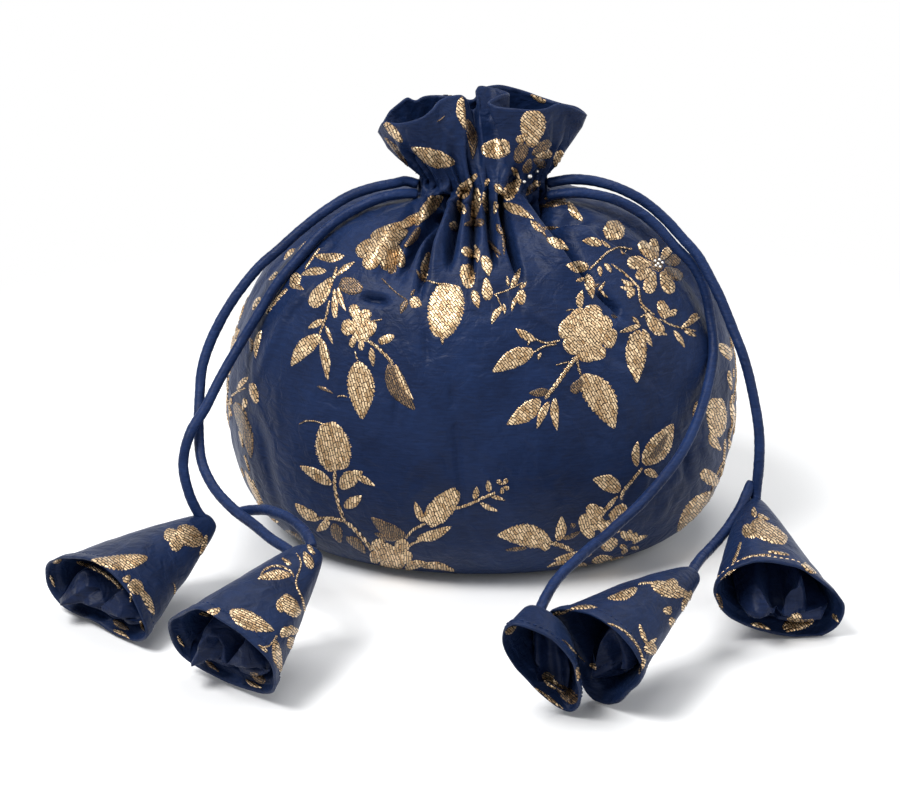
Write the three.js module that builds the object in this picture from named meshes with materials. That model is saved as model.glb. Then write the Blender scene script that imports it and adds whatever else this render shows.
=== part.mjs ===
// Potli bag: a drawstring pouch of silk brocade, stuffed round and drawn shut, with cone tassels on cords.
// Millimetres, +Z up. The origin is on the surface that the bag stands on, under the middle of the bag.
// +X is to the right and -Y is the front.

import * as THREE from 'three';
import { mergeVertices } from 'three/addons/utils/BufferGeometryUtils.js';

// Body of the bag: an oval pouch that sags on its base
const bodyWidth = 231;
const bodyDepth = 178;
const widestHeight = 62;
const baseWidth = 162;
const baseDepth = 108;

// Neck, where the drawstrings in their casing pull the cloth together
const neckHeight = 158;
const neckWidth = 56;
const neckDepth = 44;
const casingHeight = 9;
const pleatCount = 26;
const pleatDepth = 3.4;
const pleatWander = 0.16;

// Gathers that fan out from the neck over the shoulders
const gatherCount = 13;
const gatherDepth = 5.2;
const gatherReach = 0.95;
const gatherFade = 0.6;
const pleatReach = 0.28;
const fullnessDepth = 2.4;
const fullnessWaves = [5, 8];
const fullnessShares = [0.6, 0.4];

// Frill above the neck: two lobes side by side, pinched together in the middle
const frillHeight = 43;
const frillWidth = 93;
const frillPinch = 13;
const frillFoldCount = 11;
const frillFoldDepth = 0.055;
const lobeDroop = 12;
const leftLobeDroop = 5;
const pinchDroop = 7;
const frillWall = 1.6;
const frillFloorHeight = 12;

// Cords: fabric piping, four strands from the casing and two short branches
const cordDiameter = 4.5;
const cordSides = 8;
const cordStep = 13;
const seatGap = 0.3;

// Tassels: hemmed cloth cones with a crumpled bud of the same cloth inside
const tasselTipHeight = 9;
const tasselFlare = 0.85;
const tasselWall = 1.5;
const hemWidth = 5;
const hemThickness = 0.7;
const tasselSegments = 24;
const tasselRings = 5;
const budRings = 3;
const budDepth = 20;
const budFoldCount = 5;
const budFoldDepth = 0.22;
const budFaceFoldDepth = 0.35;
const budFaceShare = 0.55;
const budFaceBulge = 3;
const budDimple = 5;

// Mesh counts of the bag
const roundSteps = 92;
const lowerSteps = 7;
const upperSteps = 12;
const casingSteps = 2;
const frillSteps = 5;
const cupSteps = 4;

// Silk colours
const bagColour = 0x16294f;
const tasselColour = 0x1a3160;
const budColour = 0x122247;
const cordColour = 0x1d3a6b;

const silk = (color) => new THREE.MeshStandardMaterial({ color, roughness: 0.6, metalness: 0 });

const mix = THREE.MathUtils.lerp;
const smooth = THREE.MathUtils.smoothstep;

// A closed body from rings of equal length, capped at both ends by a fan round each centre point
function loft(rings, firstCentre, lastCentre) {
  const count = rings[0].length;
  const points = [firstCentre, ...rings.flat(), lastCentre];
  const at = (ring, step) => 1 + ring * count + (step % count);
  const index = [];
  for (let step = 0; step < count; step++) {
    index.push(0, at(0, step + 1), at(0, step));
    for (let ring = 0; ring < rings.length - 1; ring++) {
      index.push(at(ring, step), at(ring, step + 1), at(ring + 1, step + 1));
      index.push(at(ring, step), at(ring + 1, step + 1), at(ring + 1, step));
    }
    const top = rings.length - 1;
    index.push(at(top, step), at(top, step + 1), points.length - 1);
  }
  const geometry = new THREE.BufferGeometry().setFromPoints(points);
  geometry.setIndex(index);
  geometry.computeVertexNormals();
  return geometry;
}

// How far a ring's point is from the axis of an oval with two lobes: width and pinch are full sizes
function lobedRadius(angle, width, pinch) {
  return Math.hypot((width / 2) * Math.cos(angle), (pinch / 2) * Math.sin(angle));
}

// Rounded ridges with narrow valleys between them, from -1 in a valley to 0 on a ridge
function ridges(angle, count) {
  const wander = pleatWander * Math.sin(3 * angle + 1);
  return Math.abs(Math.cos((count / 2) * (angle + wander / 2))) - 1;
}

// Fullness of the cloth where the gathers run out, wider and softer than the pleats
function fullness(angle) {
  const waves = fullnessWaves.map((count, wave) => fullnessShares[wave] * Math.sin(count * angle + 2 * wave));
  return waves[0] + waves[1];
}

// Ring of the bag at one height; rise runs from 0 at the widest level to 1 at the neck
function bodyRing(width, depth, height, rise) {
  const ring = [];
  const nearNeck = smooth(rise, 1 - pleatReach, 1);
  const onShoulder = smooth(rise, 1 - gatherReach, 1 - gatherReach + gatherFade) * (1 - nearNeck);
  for (let step = 0; step < roundSteps; step++) {
    const angle = (2 * Math.PI * step) / roundSteps;
    const fold = pleatDepth * nearNeck * ridges(angle, pleatCount)
      + gatherDepth * onShoulder * ridges(angle, gatherCount)
      + fullnessDepth * onShoulder * fullness(angle);
    const x = (width / 2 + fold) * Math.cos(angle);
    const y = (depth / 2 + fold) * Math.sin(angle);
    ring.push(new THREE.Vector3(x, y, height));
  }
  return ring;
}

// Ring of the frill; flare runs from 0 at the casing to 1 at the rim, inset is the cloth's thickness
function frillRing(flare, inset) {
  const ring = [];
  const foot = neckHeight + casingHeight;
  const width = mix(neckWidth, frillWidth, Math.sin((flare * Math.PI) / 2)) - 4 * inset;
  const pinch = mix(neckDepth, frillPinch, smooth(flare, 0, 0.7)) - 2 * inset;
  for (let step = 0; step < roundSteps; step++) {
    const angle = (2 * Math.PI * step) / roundSteps;
    const lobe = Math.cos(angle) ** 2;
    const fold = 1 + frillFoldDepth * flare * Math.sin(frillFoldCount * angle + 0.7);
    const pleat = pleatDepth * (1 - flare) ** 3 * ridges(angle, pleatCount);
    const radius = lobedRadius(angle, width, pinch) * fold + pleat;
    const leftwards = (1 - Math.cos(angle)) / 2;
    const droop = lobeDroop * lobe ** 3 + pinchDroop * (1 - lobe) ** 6 + leftLobeDroop * leftwards;
    const height = foot + flare * (frillHeight - casingHeight - droop);
    ring.push(new THREE.Vector3(radius * Math.cos(angle), radius * Math.sin(angle), height));
  }
  return ring;
}

// The bag is one body: flat base, sagging belly, gathered shoulders, casing and the open cup of the frill
function bagGeometry() {
  const rings = [];
  for (let step = 0; step <= lowerSteps; step++) {
    const arc = (Math.PI / 2) * (step / lowerSteps);
    const width = mix(baseWidth, bodyWidth, Math.sin(arc));
    const depth = mix(baseDepth, bodyDepth, Math.sin(arc));
    rings.push(bodyRing(width, depth, widestHeight * (1 - Math.cos(arc)), 0));
  }
  for (let step = 1; step <= upperSteps; step++) {
    const arc = (Math.PI / 2) * (step / upperSteps);
    const width = mix(neckWidth, bodyWidth, Math.cos(arc));
    const depth = mix(neckDepth, bodyDepth, Math.cos(arc));
    rings.push(bodyRing(width, depth, mix(widestHeight, neckHeight, Math.sin(arc)), step / upperSteps));
  }
  for (let step = 1; step < casingSteps; step++) {
    rings.push(bodyRing(neckWidth, neckDepth, neckHeight + (casingHeight * step) / casingSteps, 1));
  }
  for (let step = 0; step <= frillSteps; step++) {
    rings.push(frillRing(step / frillSteps, 0));
  }
  const floorFlare = (frillFloorHeight - casingHeight) / (frillHeight - casingHeight);
  for (let step = 0; step <= cupSteps; step++) {
    rings.push(frillRing(mix(1, floorFlare, step / cupSteps), frillWall));
  }
  const base = new THREE.Vector3(0, 0, 0);
  const cupFloor = new THREE.Vector3(0, 0, neckHeight + frillFloorHeight);
  return loft(rings, base, cupFloor);
}

// A tassel's cloth follows a spine from its tip to the middle of its mouth. Its section is round at the
// tip and opens to an oval mouth, width across by height, turned by roll degrees from level.
function tasselSection({ tip, bend, mouth, tipWidth, width, height, roll }, along) {
  const spine = new THREE.QuadraticBezierCurve3(
    new THREE.Vector3(...tip), new THREE.Vector3(...bend), new THREE.Vector3(...mouth));
  const centre = spine.getPoint(along);
  const forward = spine.getTangent(along);
  const level = new THREE.Vector3(0, 0, 1).cross(forward).normalize();
  const upward = forward.clone().cross(level).normalize();
  const turn = THREE.MathUtils.degToRad(roll);
  const across = level.clone().multiplyScalar(Math.cos(turn)).addScaledVector(upward, Math.sin(turn));
  const over = upward.clone().multiplyScalar(Math.cos(turn)).addScaledVector(level, -Math.sin(turn));
  const opened = along ** tasselFlare;
  const halfWidth = mix(tipWidth / 2, width / 2, opened);
  const halfHeight = mix(tasselTipHeight / 2, height / 2, opened);
  return { centre, forward, across, over, halfWidth, halfHeight, length: spine.getLength() };
}

function sectionRing(section, inset, segments, folds = () => 1) {
  const ring = [];
  for (let step = 0; step < segments; step++) {
    const angle = (2 * Math.PI * step) / segments;
    const fold = folds(angle);
    const point = section.centre.clone();
    point.addScaledVector(section.across, (section.halfWidth - inset) * fold * Math.cos(angle));
    point.addScaledVector(section.over, (section.halfHeight - inset) * fold * Math.sin(angle));
    ring.push(point);
  }
  return ring;
}

// Hemmed cone: the wall outside, the hem's roll at the mouth, and the wall inside back to the tip
function tasselGeometry(tassel) {
  const rings = [];
  const length = tasselSection(tassel, 0).length;
  const hemStart = 1 - hemWidth / length;
  for (let step = 0; step <= tasselRings; step++) {
    rings.push(sectionRing(tasselSection(tassel, (hemStart * step) / tasselRings), 0, tasselSegments));
  }
  rings.push(sectionRing(tasselSection(tassel, hemStart), -hemThickness, tasselSegments));
  rings.push(sectionRing(tasselSection(tassel, 1), -hemThickness, tasselSegments));
  rings.push(sectionRing(tasselSection(tassel, 1), tasselWall, tasselSegments));
  const innerEnd = tasselWall * 3 / length;
  for (let step = 1; step <= tasselRings; step++) {
    const along = mix(1, innerEnd, step / tasselRings);
    rings.push(sectionRing(tasselSection(tassel, along), tasselWall, tasselSegments));
  }
  return loft(rings, tasselSection(tassel, 0).centre, tasselSection(tassel, innerEnd).centre);
}

// Bud: a wad of cloth gathered to a point inside the cone, with deep folds on its face
function budGeometry(tassel) {
  const length = tasselSection(tassel, 0).length;
  const face = 1 - tassel.budRecess / length;
  const root = 1 - (tassel.budRecess + budDepth) / length;
  const folds = (depth) => (angle) => 1 + depth * (Math.cos(budFoldCount * angle + tassel.roll) - 1) / 2;
  const rings = [];
  for (let step = 0; step <= budRings; step++) {
    const along = mix(root, face, step / budRings);
    const depth = budFoldDepth * (step / budRings);
    rings.push(sectionRing(tasselSection(tassel, along), tasselWall + seatGap, tasselSegments, folds(depth)));
  }
  const mouthSection = tasselSection(tassel, face);
  const faceSection = { ...mouthSection };
  faceSection.halfWidth = mouthSection.halfWidth * budFaceShare;
  faceSection.halfHeight = mouthSection.halfHeight * budFaceShare;
  faceSection.centre = mouthSection.centre.clone().addScaledVector(mouthSection.forward, budFaceBulge);
  rings.push(sectionRing(faceSection, 0, tasselSegments, folds(budFaceFoldDepth)));
  const middle = mouthSection.centre.clone().addScaledVector(mouthSection.forward, -budDimple);
  return loft(rings, tasselSection(tassel, root).centre, middle);
}

// Cord: a round section carried along a smooth curve through its route
function cordGeometry(route) {
  const points = route.map((point) => new THREE.Vector3(...point));
  const curve = new THREE.CatmullRomCurve3(points, false, 'centripetal');
  const section = new THREE.Shape();
  for (let side = 0; side < cordSides; side++) {
    const angle = (2 * Math.PI * side) / cordSides;
    const x = (cordDiameter / 2) * Math.cos(angle);
    const y = (cordDiameter / 2) * Math.sin(angle);
    if (side === 0) section.moveTo(x, y);
    else section.lineTo(x, y);
  }
  section.closePath();
  const steps = Math.round(curve.getLength() / cordStep);
  const tube = new THREE.ExtrudeGeometry(section, { steps, extrudePath: curve, curveSegments: 1 });
  tube.deleteAttribute('normal');
  tube.deleteAttribute('uv');
  return mergeVertices(tube, 1e-3);
}

// Each tassel lies where its cord lets it down: tip, middle of the spine and middle of the mouth
const tassels = {
  far_left: {
    tip: [-120, -74, 32], bend: [-142, -96, 26], mouth: [-164, -119, 17.8],
    tipWidth: 10, width: 66, height: 35, roll: 1, budRecess: 11,
  },
  front_left: {
    tip: [-73, -135, 46], bend: [-90, -156, 34], mouth: [-107, -177, 21.3],
    tipWidth: 16, width: 59, height: 44, roll: 15, budRecess: 11,
  },
  rear_right: {
    tip: [85, -140, 38], bend: [64, -164, 32], mouth: [43.6, -187.6, 22.2],
    tipWidth: 10, width: 57, height: 41, roll: 24, budRecess: 22,
  },
  front_right: {
    tip: [10, -168, 34], bend: [17, -180, 26], mouth: [19, -195, 17.4],
    tipWidth: 9, width: 44, height: 20, roll: -50, budRecess: 5,
  },
  far_right: {
    tip: [118, -67, 37], bend: [121, -98, 29], mouth: [124, -128, 21],
    tipWidth: 10, width: 61, height: 35, roll: -27, budRecess: 11,
  },
};

// Routes of the cords, from the casing or the parent cord to the tassel
const cords = {
  left_outer: [
    [-28.6, -3, 163.5], [-34, -3, 165], [-39, -5, 164.6], [-48, -6, 163], [-58, -8, 160], [-69, -11, 154],
    [-79, -14, 147], [-90, -18, 138], [-98, -22, 132], [-110, -28, 118], [-119, -35, 103], [-123, -41, 92],
    [-124, -48, 81], [-124, -58, 69], [-122, -70, 59], [-116, -82, 52], [-107, -95, 48], [-98, -108, 47],
    [-89, -122, 46], [-82.4, -131.2, 46],
  ],
  left_inner: [
    [-29, -8, 160.8], [-34, -9, 161.2], [-43, -10, 160], [-53, -12, 156.6], [-63, -15, 151.6],
    [-72, -19, 145], [-80, -23, 137], [-90, -27, 126], [-97, -31, 115.6], [-106, -37, 102], [-114, -45, 90],
    [-121, -57, 79], [-127, -66, 71], [-130, -71, 59], [-128, -75, 48], [-123, -77, 38.4],
  ],
  left_branch: [
    [-106.2, -91.2, 44.1], [-101.6, -92.4, 46], [-96.9, -95, 47.5], [-92.3, -99.5, 49.5],
    [-87.8, -104.5, 50.3], [-83.3, -110, 51], [-79.2, -116, 50.9], [-75.5, -122.5, 50.2],
    [-72.9, -129, 49], [-71.6, -132.8, 47.2],
  ],
  right_outer: [
    [28.6, -3, 164], [34, -4, 165.5], [39, -5, 166.5], [49, -6, 166], [61, -9, 163], [71, -11, 158],
    [80, -14, 151], [88, -18, 143], [94, -22, 137], [99, -27, 129], [104, -33, 120], [109, -40, 109],
    [114, -48, 97], [118, -55, 81], [120, -61, 68], [120, -65, 55], [119, -67, 41.7],
  ],
  right_inner: [
    [28.8, -8, 160], [35, -10, 161.4], [44, -11, 162], [57, -13, 160], [68, -15, 155], [76, -17, 149],
    [84, -18, 140], [92, -20, 132], [97, -23, 123], [100, -29, 110], [101, -38, 98], [98, -50, 87],
    [93, -62, 76], [85, -75, 66], [75, -87, 59], [66, -98, 54], [59, -108, 52], [50, -119, 50],
    [42, -130, 49], [35, -141, 47], [25, -153, 45], [17, -160, 41.6], [10.5, -165.6, 36.6],
  ],
  right_branch: [
    [114.5, -66.5, 46], [111.3, -69, 42.3], [108.3, -73.5, 38.8], [105.2, -80, 35.8], [101.9, -88, 34],
    [98.4, -97, 33.4], [94.9, -107, 33.6], [90.9, -118, 35.2], [87.5, -130, 37], [85.6, -138, 38.2],
  ],
};

const bag = new THREE.Group();

function add(name, geometry, material) {
  const mesh = new THREE.Mesh(geometry, material);
  mesh.name = name;
  bag.add(mesh);
}

add('bag', bagGeometry(), silk(bagColour));
for (const [place, tassel] of Object.entries(tassels)) {
  add(`tassel_${place}`, tasselGeometry(tassel), silk(tasselColour));
  add(`bud_${place}`, budGeometry(tassel), silk(budColour));
}
for (const [place, route] of Object.entries(cords)) {
  add(`cord_${place}`, cordGeometry(route), silk(cordColour));
}

export default bag;
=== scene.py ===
import math
from collections import namedtuple

import bpy
import numpy as np
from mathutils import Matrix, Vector, noise
from mathutils.bvhtree import BVHTree


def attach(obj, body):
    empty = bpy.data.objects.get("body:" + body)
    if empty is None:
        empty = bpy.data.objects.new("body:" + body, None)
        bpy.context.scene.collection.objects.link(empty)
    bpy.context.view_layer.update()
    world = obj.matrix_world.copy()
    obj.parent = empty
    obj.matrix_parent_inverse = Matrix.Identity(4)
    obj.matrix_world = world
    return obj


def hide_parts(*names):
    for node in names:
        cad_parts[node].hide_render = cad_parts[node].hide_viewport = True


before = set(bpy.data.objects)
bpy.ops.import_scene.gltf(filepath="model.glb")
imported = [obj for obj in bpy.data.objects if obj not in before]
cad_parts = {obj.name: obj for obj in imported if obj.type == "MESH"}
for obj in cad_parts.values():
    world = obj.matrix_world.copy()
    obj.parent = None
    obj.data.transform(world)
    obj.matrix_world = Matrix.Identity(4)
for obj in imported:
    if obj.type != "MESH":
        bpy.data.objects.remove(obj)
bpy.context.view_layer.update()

MM = 0.001

# the camera's view, as in the photograph

PHOTO_WIDTH, PHOTO_HEIGHT = 900, 795
LENS_MM, SENSOR_MM = 120.0, 36.0
CLIP_NEAR, CLIP_FAR = 0.05, 20
CAMERA_TILT = math.radians(22.0)
CAMERA_DISTANCE = 1.364
CAMERA_TARGET = Vector((-0.0145, 0.0, 0.0609))
PIXELS_PER_UNIT = LENS_MM / SENSOR_MM * PHOTO_WIDTH
# Millimetres that one pixel of the photograph shows at the bag
PHOTO_MM = 0.4545

camera_place = CAMERA_TARGET + CAMERA_DISTANCE * Vector((0, -math.cos(CAMERA_TILT), math.sin(CAMERA_TILT)))
view_right = Vector((1, 0, 0))
view_forward = (CAMERA_TARGET - camera_place).normalized()
view_up = view_right.cross(view_forward)


def sight(u, v):
    """Direction from the camera through pixel (u, v) of the photograph."""
    across = (u - PHOTO_WIDTH / 2) / PIXELS_PER_UNIT
    down = (v - PHOTO_HEIGHT / 2) / PIXELS_PER_UNIT
    return (view_forward + view_right * across - view_up * down).normalized()


def pixel_at_depth(u, v, depth_mm):
    """Point in millimetres behind pixel (u, v) in the upright plane y = depth_mm."""
    ray = sight(u, v)
    reach = (depth_mm * MM - camera_place.y) / ray.y
    return (camera_place + ray * reach) / MM


def to_pixels(points_mm):
    """Photograph pixels of an array of points in millimetres."""
    offset = np.asarray(points_mm) * MM - np.array(camera_place)
    ahead = offset @ np.array(view_forward)
    u = PHOTO_WIDTH / 2 + PIXELS_PER_UNIT * (offset @ np.array(view_right)) / ahead
    v = PHOTO_HEIGHT / 2 - PIXELS_PER_UNIT * (offset @ np.array(view_up)) / ahead
    return np.stack([u, v], axis=-1)


def add_object(name, data):
    """A new object of the scene for the mesh, the lamp or the camera."""
    added = bpy.data.objects.new(name, data)
    bpy.context.collection.objects.link(added)
    return added


def set_up_camera():
    data = bpy.data.cameras.new("camera")
    data.lens = LENS_MM
    data.sensor_width = SENSOR_MM
    data.sensor_fit = 'HORIZONTAL'
    data.clip_start = CLIP_NEAR
    data.clip_end = CLIP_FAR
    camera = add_object("camera", data)
    camera.location = camera_place
    camera.rotation_euler = (math.pi / 2 - CAMERA_TILT, 0, 0)
    bpy.context.scene.camera = camera


# meshes and curves

def mesh_piece(name, points_mm, faces, material, uvs=None):
    """A smooth mesh object from points in millimetres; uvs is one pair for each point."""
    mesh = bpy.data.meshes.new(name)
    mesh.from_pydata((np.asarray(points_mm, dtype=float) * MM).tolist(), [], faces)
    mesh.materials.append(material)
    if uvs is not None:
        layer = mesh.uv_layers.new(name="cloth")
        loops = np.empty(len(mesh.loops), dtype=np.int64)
        mesh.loops.foreach_get("vertex_index", loops)
        layer.data.foreach_set("uv", np.asarray(uvs, dtype=float)[loops].ravel())
    mesh.polygons.foreach_set("use_smooth", [True] * len(mesh.polygons))
    mesh.update()
    return add_object(name, mesh)


def ring_faces(rings, steps, start=0):
    """Quads between closed rings of points that are stored one after another."""
    faces = []
    for ring in range(rings - 1):
        low = start + ring * steps
        high = low + steps
        for step in range(steps):
            after = (step + 1) % steps
            faces.append((low + step, low + after, high + after, high + step))
    return faces


def closed_faces(rings, steps):
    """Faces of rings that are closed by a fan at each end; the fans' middles are the last two points."""
    faces = ring_faces(rings, steps)
    last = (rings - 1) * steps
    first_middle, last_middle = rings * steps, rings * steps + 1
    for step in range(steps):
        after = (step + 1) % steps
        faces.append((first_middle, after, step))
        faces.append((last + step, last + after, last_middle))
    return faces


def outward_of(grid):
    """Unit direction across the surface at each point of a grid of closed rings."""
    around = np.roll(grid, -1, axis=1) - np.roll(grid, 1, axis=1)
    out = np.cross(around, np.gradient(grid, axis=0))
    return out / np.maximum(np.linalg.norm(out, axis=2), 1e-9)[..., None]


def smoothstep(values, low, high):
    """A soft step from 0 at low to 1 at high."""
    t = np.clip((np.asarray(values, dtype=float) - low) / (high - low), 0, 1)
    return t * t * (3 - 2 * t)


# Steps that a smooth curve has between two of its given points
CURVE_STEPS = 24


def curve_through(points, count, closed=False):
    """count points at even steps along a smooth curve through the given ones."""
    points = np.asarray(points, dtype=float)
    if closed:
        padded = np.vstack([points[-1], points, points[0], points[1]])
    else:
        padded = np.vstack([2 * points[0] - points[1], points, 2 * points[-1] - points[-2]])
    dense = []
    for i in range(1, len(padded) - 2):
        p0, p1, p2, p3 = padded[i - 1:i + 3]
        knots = [0.0]
        for a, b in ((p0, p1), (p1, p2), (p2, p3)):
            knots.append(knots[-1] + max(np.linalg.norm(b - a), 1e-6) ** 0.5)
        t = np.linspace(knots[1], knots[2], CURVE_STEPS, endpoint=False)[:, None]
        k0, k1, k2, k3 = knots
        a1 = (k1 - t) / (k1 - k0) * p0 + (t - k0) / (k1 - k0) * p1
        a2 = (k2 - t) / (k2 - k1) * p1 + (t - k1) / (k2 - k1) * p2
        a3 = (k3 - t) / (k3 - k2) * p2 + (t - k2) / (k3 - k2) * p3
        b1 = (k2 - t) / (k2 - k0) * a1 + (t - k0) / (k2 - k0) * a2
        b2 = (k3 - t) / (k3 - k1) * a2 + (t - k1) / (k3 - k1) * a3
        dense.append((k2 - t) / (k2 - k1) * b1 + (t - k1) / (k2 - k1) * b2)
    dense = np.vstack(dense + ([points[:1]] if closed else [points[-1:]]))
    length = np.concatenate([[0], np.cumsum(np.linalg.norm(np.diff(dense, axis=0), axis=1))])
    wanted = np.linspace(0, length[-1], count + 1 if closed else count)
    if closed:
        wanted = wanted[:-1]
    return np.stack([np.interp(wanted, length, dense[:, axis]) for axis in range(dense.shape[1])], axis=1)


def length_of(points):
    """Length of the line through the points."""
    return float(np.linalg.norm(np.diff(np.asarray(points), axis=0), axis=1).sum())


def soft_noise(points_mm, size_mm, seed):
    """Smooth noise between -1 and 1 at each point, with bumps of about size_mm."""
    shift = Vector((seed * 17.3, seed * 5.1, seed * 9.7))
    return np.array([noise.noise(Vector(p) / size_mm + shift) for p in points_mm])


# nodes: a value is a number, a colour or another node's output

def feed(tree, socket, value):
    """Gives the socket its value, or joins the other node's output to it."""
    if isinstance(value, bpy.types.NodeSocket):
        tree.links.new(value, socket)
    else:
        socket.default_value = value


def set_inputs(tree, node, **values):
    """Feeds a node's inputs by their names, with _ for a space."""
    for name, value in values.items():
        feed(tree, node.inputs[name.replace("_", " ")], value)


def add_node(tree, kind, *first_values, settings=None, **values):
    """A node with its settings, and its inputs in order or by name."""
    node = tree.nodes.new(kind)
    for name, setting in (settings or {}).items():
        setattr(node, name, setting)
    for socket, value in zip(node.inputs, first_values):
        feed(tree, socket, value)
    set_inputs(tree, node, **values)
    return node


def add_math(tree, operation, *values):
    return add_node(tree, "ShaderNodeMath", *values, settings={"operation": operation}).outputs[0]


def add_noise(tree, place, **values):
    return add_node(tree, "ShaderNodeTexNoise", Vector=place, **values)


def add_range(tree, value, **limits):
    return add_node(tree, "ShaderNodeMapRange", Value=value, **limits).outputs["Result"]


def add_bump(tree, height, **values):
    return add_node(tree, "ShaderNodeBump", Height=height, **values)


def mix_colours(tree, share, first, second):
    mix = add_node(tree, "ShaderNodeMix", share, settings={"data_type": 'RGBA'})
    feed(tree, mix.inputs[6], first)
    feed(tree, mix.inputs[7], second)
    return mix.outputs[2]


# materials

def linear(red, green, blue):
    """A colour written as 0 to 255, in linear light."""
    levels = (red / 255, green / 255, blue / 255)
    return tuple(((c + 0.055) / 1.055) ** 2.4 if c > 10 / 255 else c / 12.92 for c in levels) + (1,)


def new_material(name):
    """A material with its node tree and its shader."""
    material = bpy.data.materials.new(name)
    material.use_nodes = True
    return material, material.node_tree, material.node_tree.nodes["Principled BSDF"]


# How fine the silk's slubs, grain, mottling and crumpling are, in bumps for each metre, and how high the
# weave, its ribs and the wrinkles stand, in metres
SLUB_FINENESS = (180, 180, 1500)
GRAIN_FINENESS, MOTTLE_FINENESS, CRUMPLE_FINENESS = 2600.0, 38.0, 150.0
WEAVE_HEIGHT, RIB_HEIGHT, WRINKLE_HEIGHT = 0.00012, 0.00018, 0.0014
SATIN_ROUGHNESS = (0.36, 0.52)
BLUE_SHEEN = (0.45, 0.6, 1.0, 1.0)


def silk_brocade(name, ground, lifted, coarse=1.0):
    """Satin-faced silk: fine slubs along the weft and soft mottling."""
    material, tree, shader = new_material(name)
    place = add_node(tree, "ShaderNodeTexCoord").outputs["Object"]
    fineness = tuple(size * coarse for size in SLUB_FINENESS)
    weft = add_node(tree, "ShaderNodeMapping", Vector=place, Scale=fineness)
    slub = add_noise(tree, weft.outputs["Vector"], Scale=1.0, Detail=3.0, Roughness=0.6).outputs["Fac"]
    grain = add_noise(tree, place, Scale=GRAIN_FINENESS, Detail=2.0, Roughness=0.7).outputs["Fac"]
    mottle = add_noise(tree, place, Scale=MOTTLE_FINENESS, Detail=4.0, Roughness=0.55).outputs["Fac"]
    crumple = add_noise(tree, place, Scale=CRUMPLE_FINENESS, Detail=3.0, Roughness=0.5, Distortion=0.8)

    mean = add_math(tree, 'MULTIPLY_ADD', slub, 0.5, add_math(tree, 'MULTIPLY', mottle, 0.5))
    share = add_range(tree, mean, From_Min=0.35, From_Max=0.68)
    weave = add_bump(tree, grain, Strength=0.35, Distance=WEAVE_HEIGHT)
    ribs = add_bump(tree, slub, Strength=0.4, Distance=RIB_HEIGHT, Normal=weave.outputs["Normal"])
    wrinkles = add_bump(tree, crumple.outputs["Fac"], Strength=0.7, Distance=WRINKLE_HEIGHT,
                        Normal=ribs.outputs["Normal"])
    smooth, rough = SATIN_ROUGHNESS
    set_inputs(tree, shader, Base_Color=mix_colours(tree, share, ground, lifted),
               Normal=wrinkles.outputs["Normal"], Specular_IOR_Level=0.12,
               Roughness=add_range(tree, mottle, To_Min=smooth, To_Max=rough),
               Sheen_Weight=0.04, Sheen_Roughness=0.35, Sheen_Tint=BLUE_SHEEN)
    return material


# How high the gold's floats and their fibres stand, in metres, and how far its worn patches darken
FLOAT_RISE, FIBRE_RISE = 0.0006, 0.00012
WORN_SHARE = 0.42
# Floats of neighbouring rows start this share of a float further on, and every third row is longer
ROW_OFFSET, LONG_ROW = 0.37, 1.5
# The floats wander by up to this much, in millimetres
FLOAT_WANDER = 1.1


def zari_thread(name, bright, shade, gap, float_length, float_height, metal=0.55, lift=1.0):
    """Gold zari: rows of flat metal-wrapped floats laid like bricks, with dark gaps between.
    It reads the piece's own map, which is in millimetres."""
    material, tree, shader = new_material(name)
    place = add_node(tree, "ShaderNodeUVMap", settings={"uv_map": "cloth"}).outputs["UV"]
    wander = add_noise(tree, place, Scale=0.5, Detail=1.0).outputs["Color"]
    shaken = add_node(tree, "ShaderNodeVectorMath", wander, (FLOAT_WANDER, FLOAT_WANDER, 0), place,
                      settings={"operation": 'MULTIPLY_ADD'})
    rows = {"offset": ROW_OFFSET, "offset_frequency": 2, "squash": LONG_ROW, "squash_frequency": 3}
    bricks = add_node(tree, "ShaderNodeTexBrick", settings=rows, Vector=shaken.outputs["Vector"], Scale=1.0,
                      Mortar_Size=0.2, Mortar_Smooth=0.3, Bias=0.0, Brick_Width=float_length,
                      Row_Height=float_height, Color1=bright, Color2=shade, Mortar=gap)
    patchy = add_noise(tree, place, Scale=0.45, Detail=3.0, Roughness=0.6).outputs["Fac"]
    dimmed = add_range(tree, patchy, From_Min=0.5, From_Max=0.72, To_Min=0.0, To_Max=0.6)
    worn_gold = tuple(WORN_SHARE * c for c in bright[:3]) + (1,)
    thread = add_noise(tree, place, Scale=6.0, Detail=2.0, Roughness=0.7).outputs["Fac"]
    fibres = add_bump(tree, thread, Strength=0.5, Distance=FIBRE_RISE)
    floats = add_bump(tree, bricks.outputs["Fac"], settings={"invert": True}, Strength=1.0,
                      Distance=FLOAT_RISE * lift, Normal=fibres.outputs["Normal"])
    set_inputs(tree, shader, Base_Color=mix_colours(tree, dimmed, bricks.outputs["Color"], worn_gold),
               Normal=floats.outputs["Normal"], Metallic=metal, Roughness=0.33)
    return material


def bead_glass():
    material, tree, shader = new_material("pale_glass_beads")
    set_inputs(tree, shader, Base_Color=linear(214, 210, 204), Metallic=0.6, Roughness=0.2)
    return material


NAVY = linear(10, 23, 50)
NAVY_LIFTED = linear(22, 40, 76)
GOLD = linear(244, 214, 172)
GOLD_SHADE = linear(166, 130, 88)
GOLD_GAP = linear(36, 24, 16)
# Gold of the dull_ parts, darker than GOLD partly for wear and partly as painted shade where the cloth turns
# away from the light
WORN_AND_PAINTED_SHADE_GOLD = linear(150, 120, 86)
WORN_AND_PAINTED_SHADE_GOLD_DARKER = linear(92, 74, 56)
WORN_GAP = linear(14, 20, 36)

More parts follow.
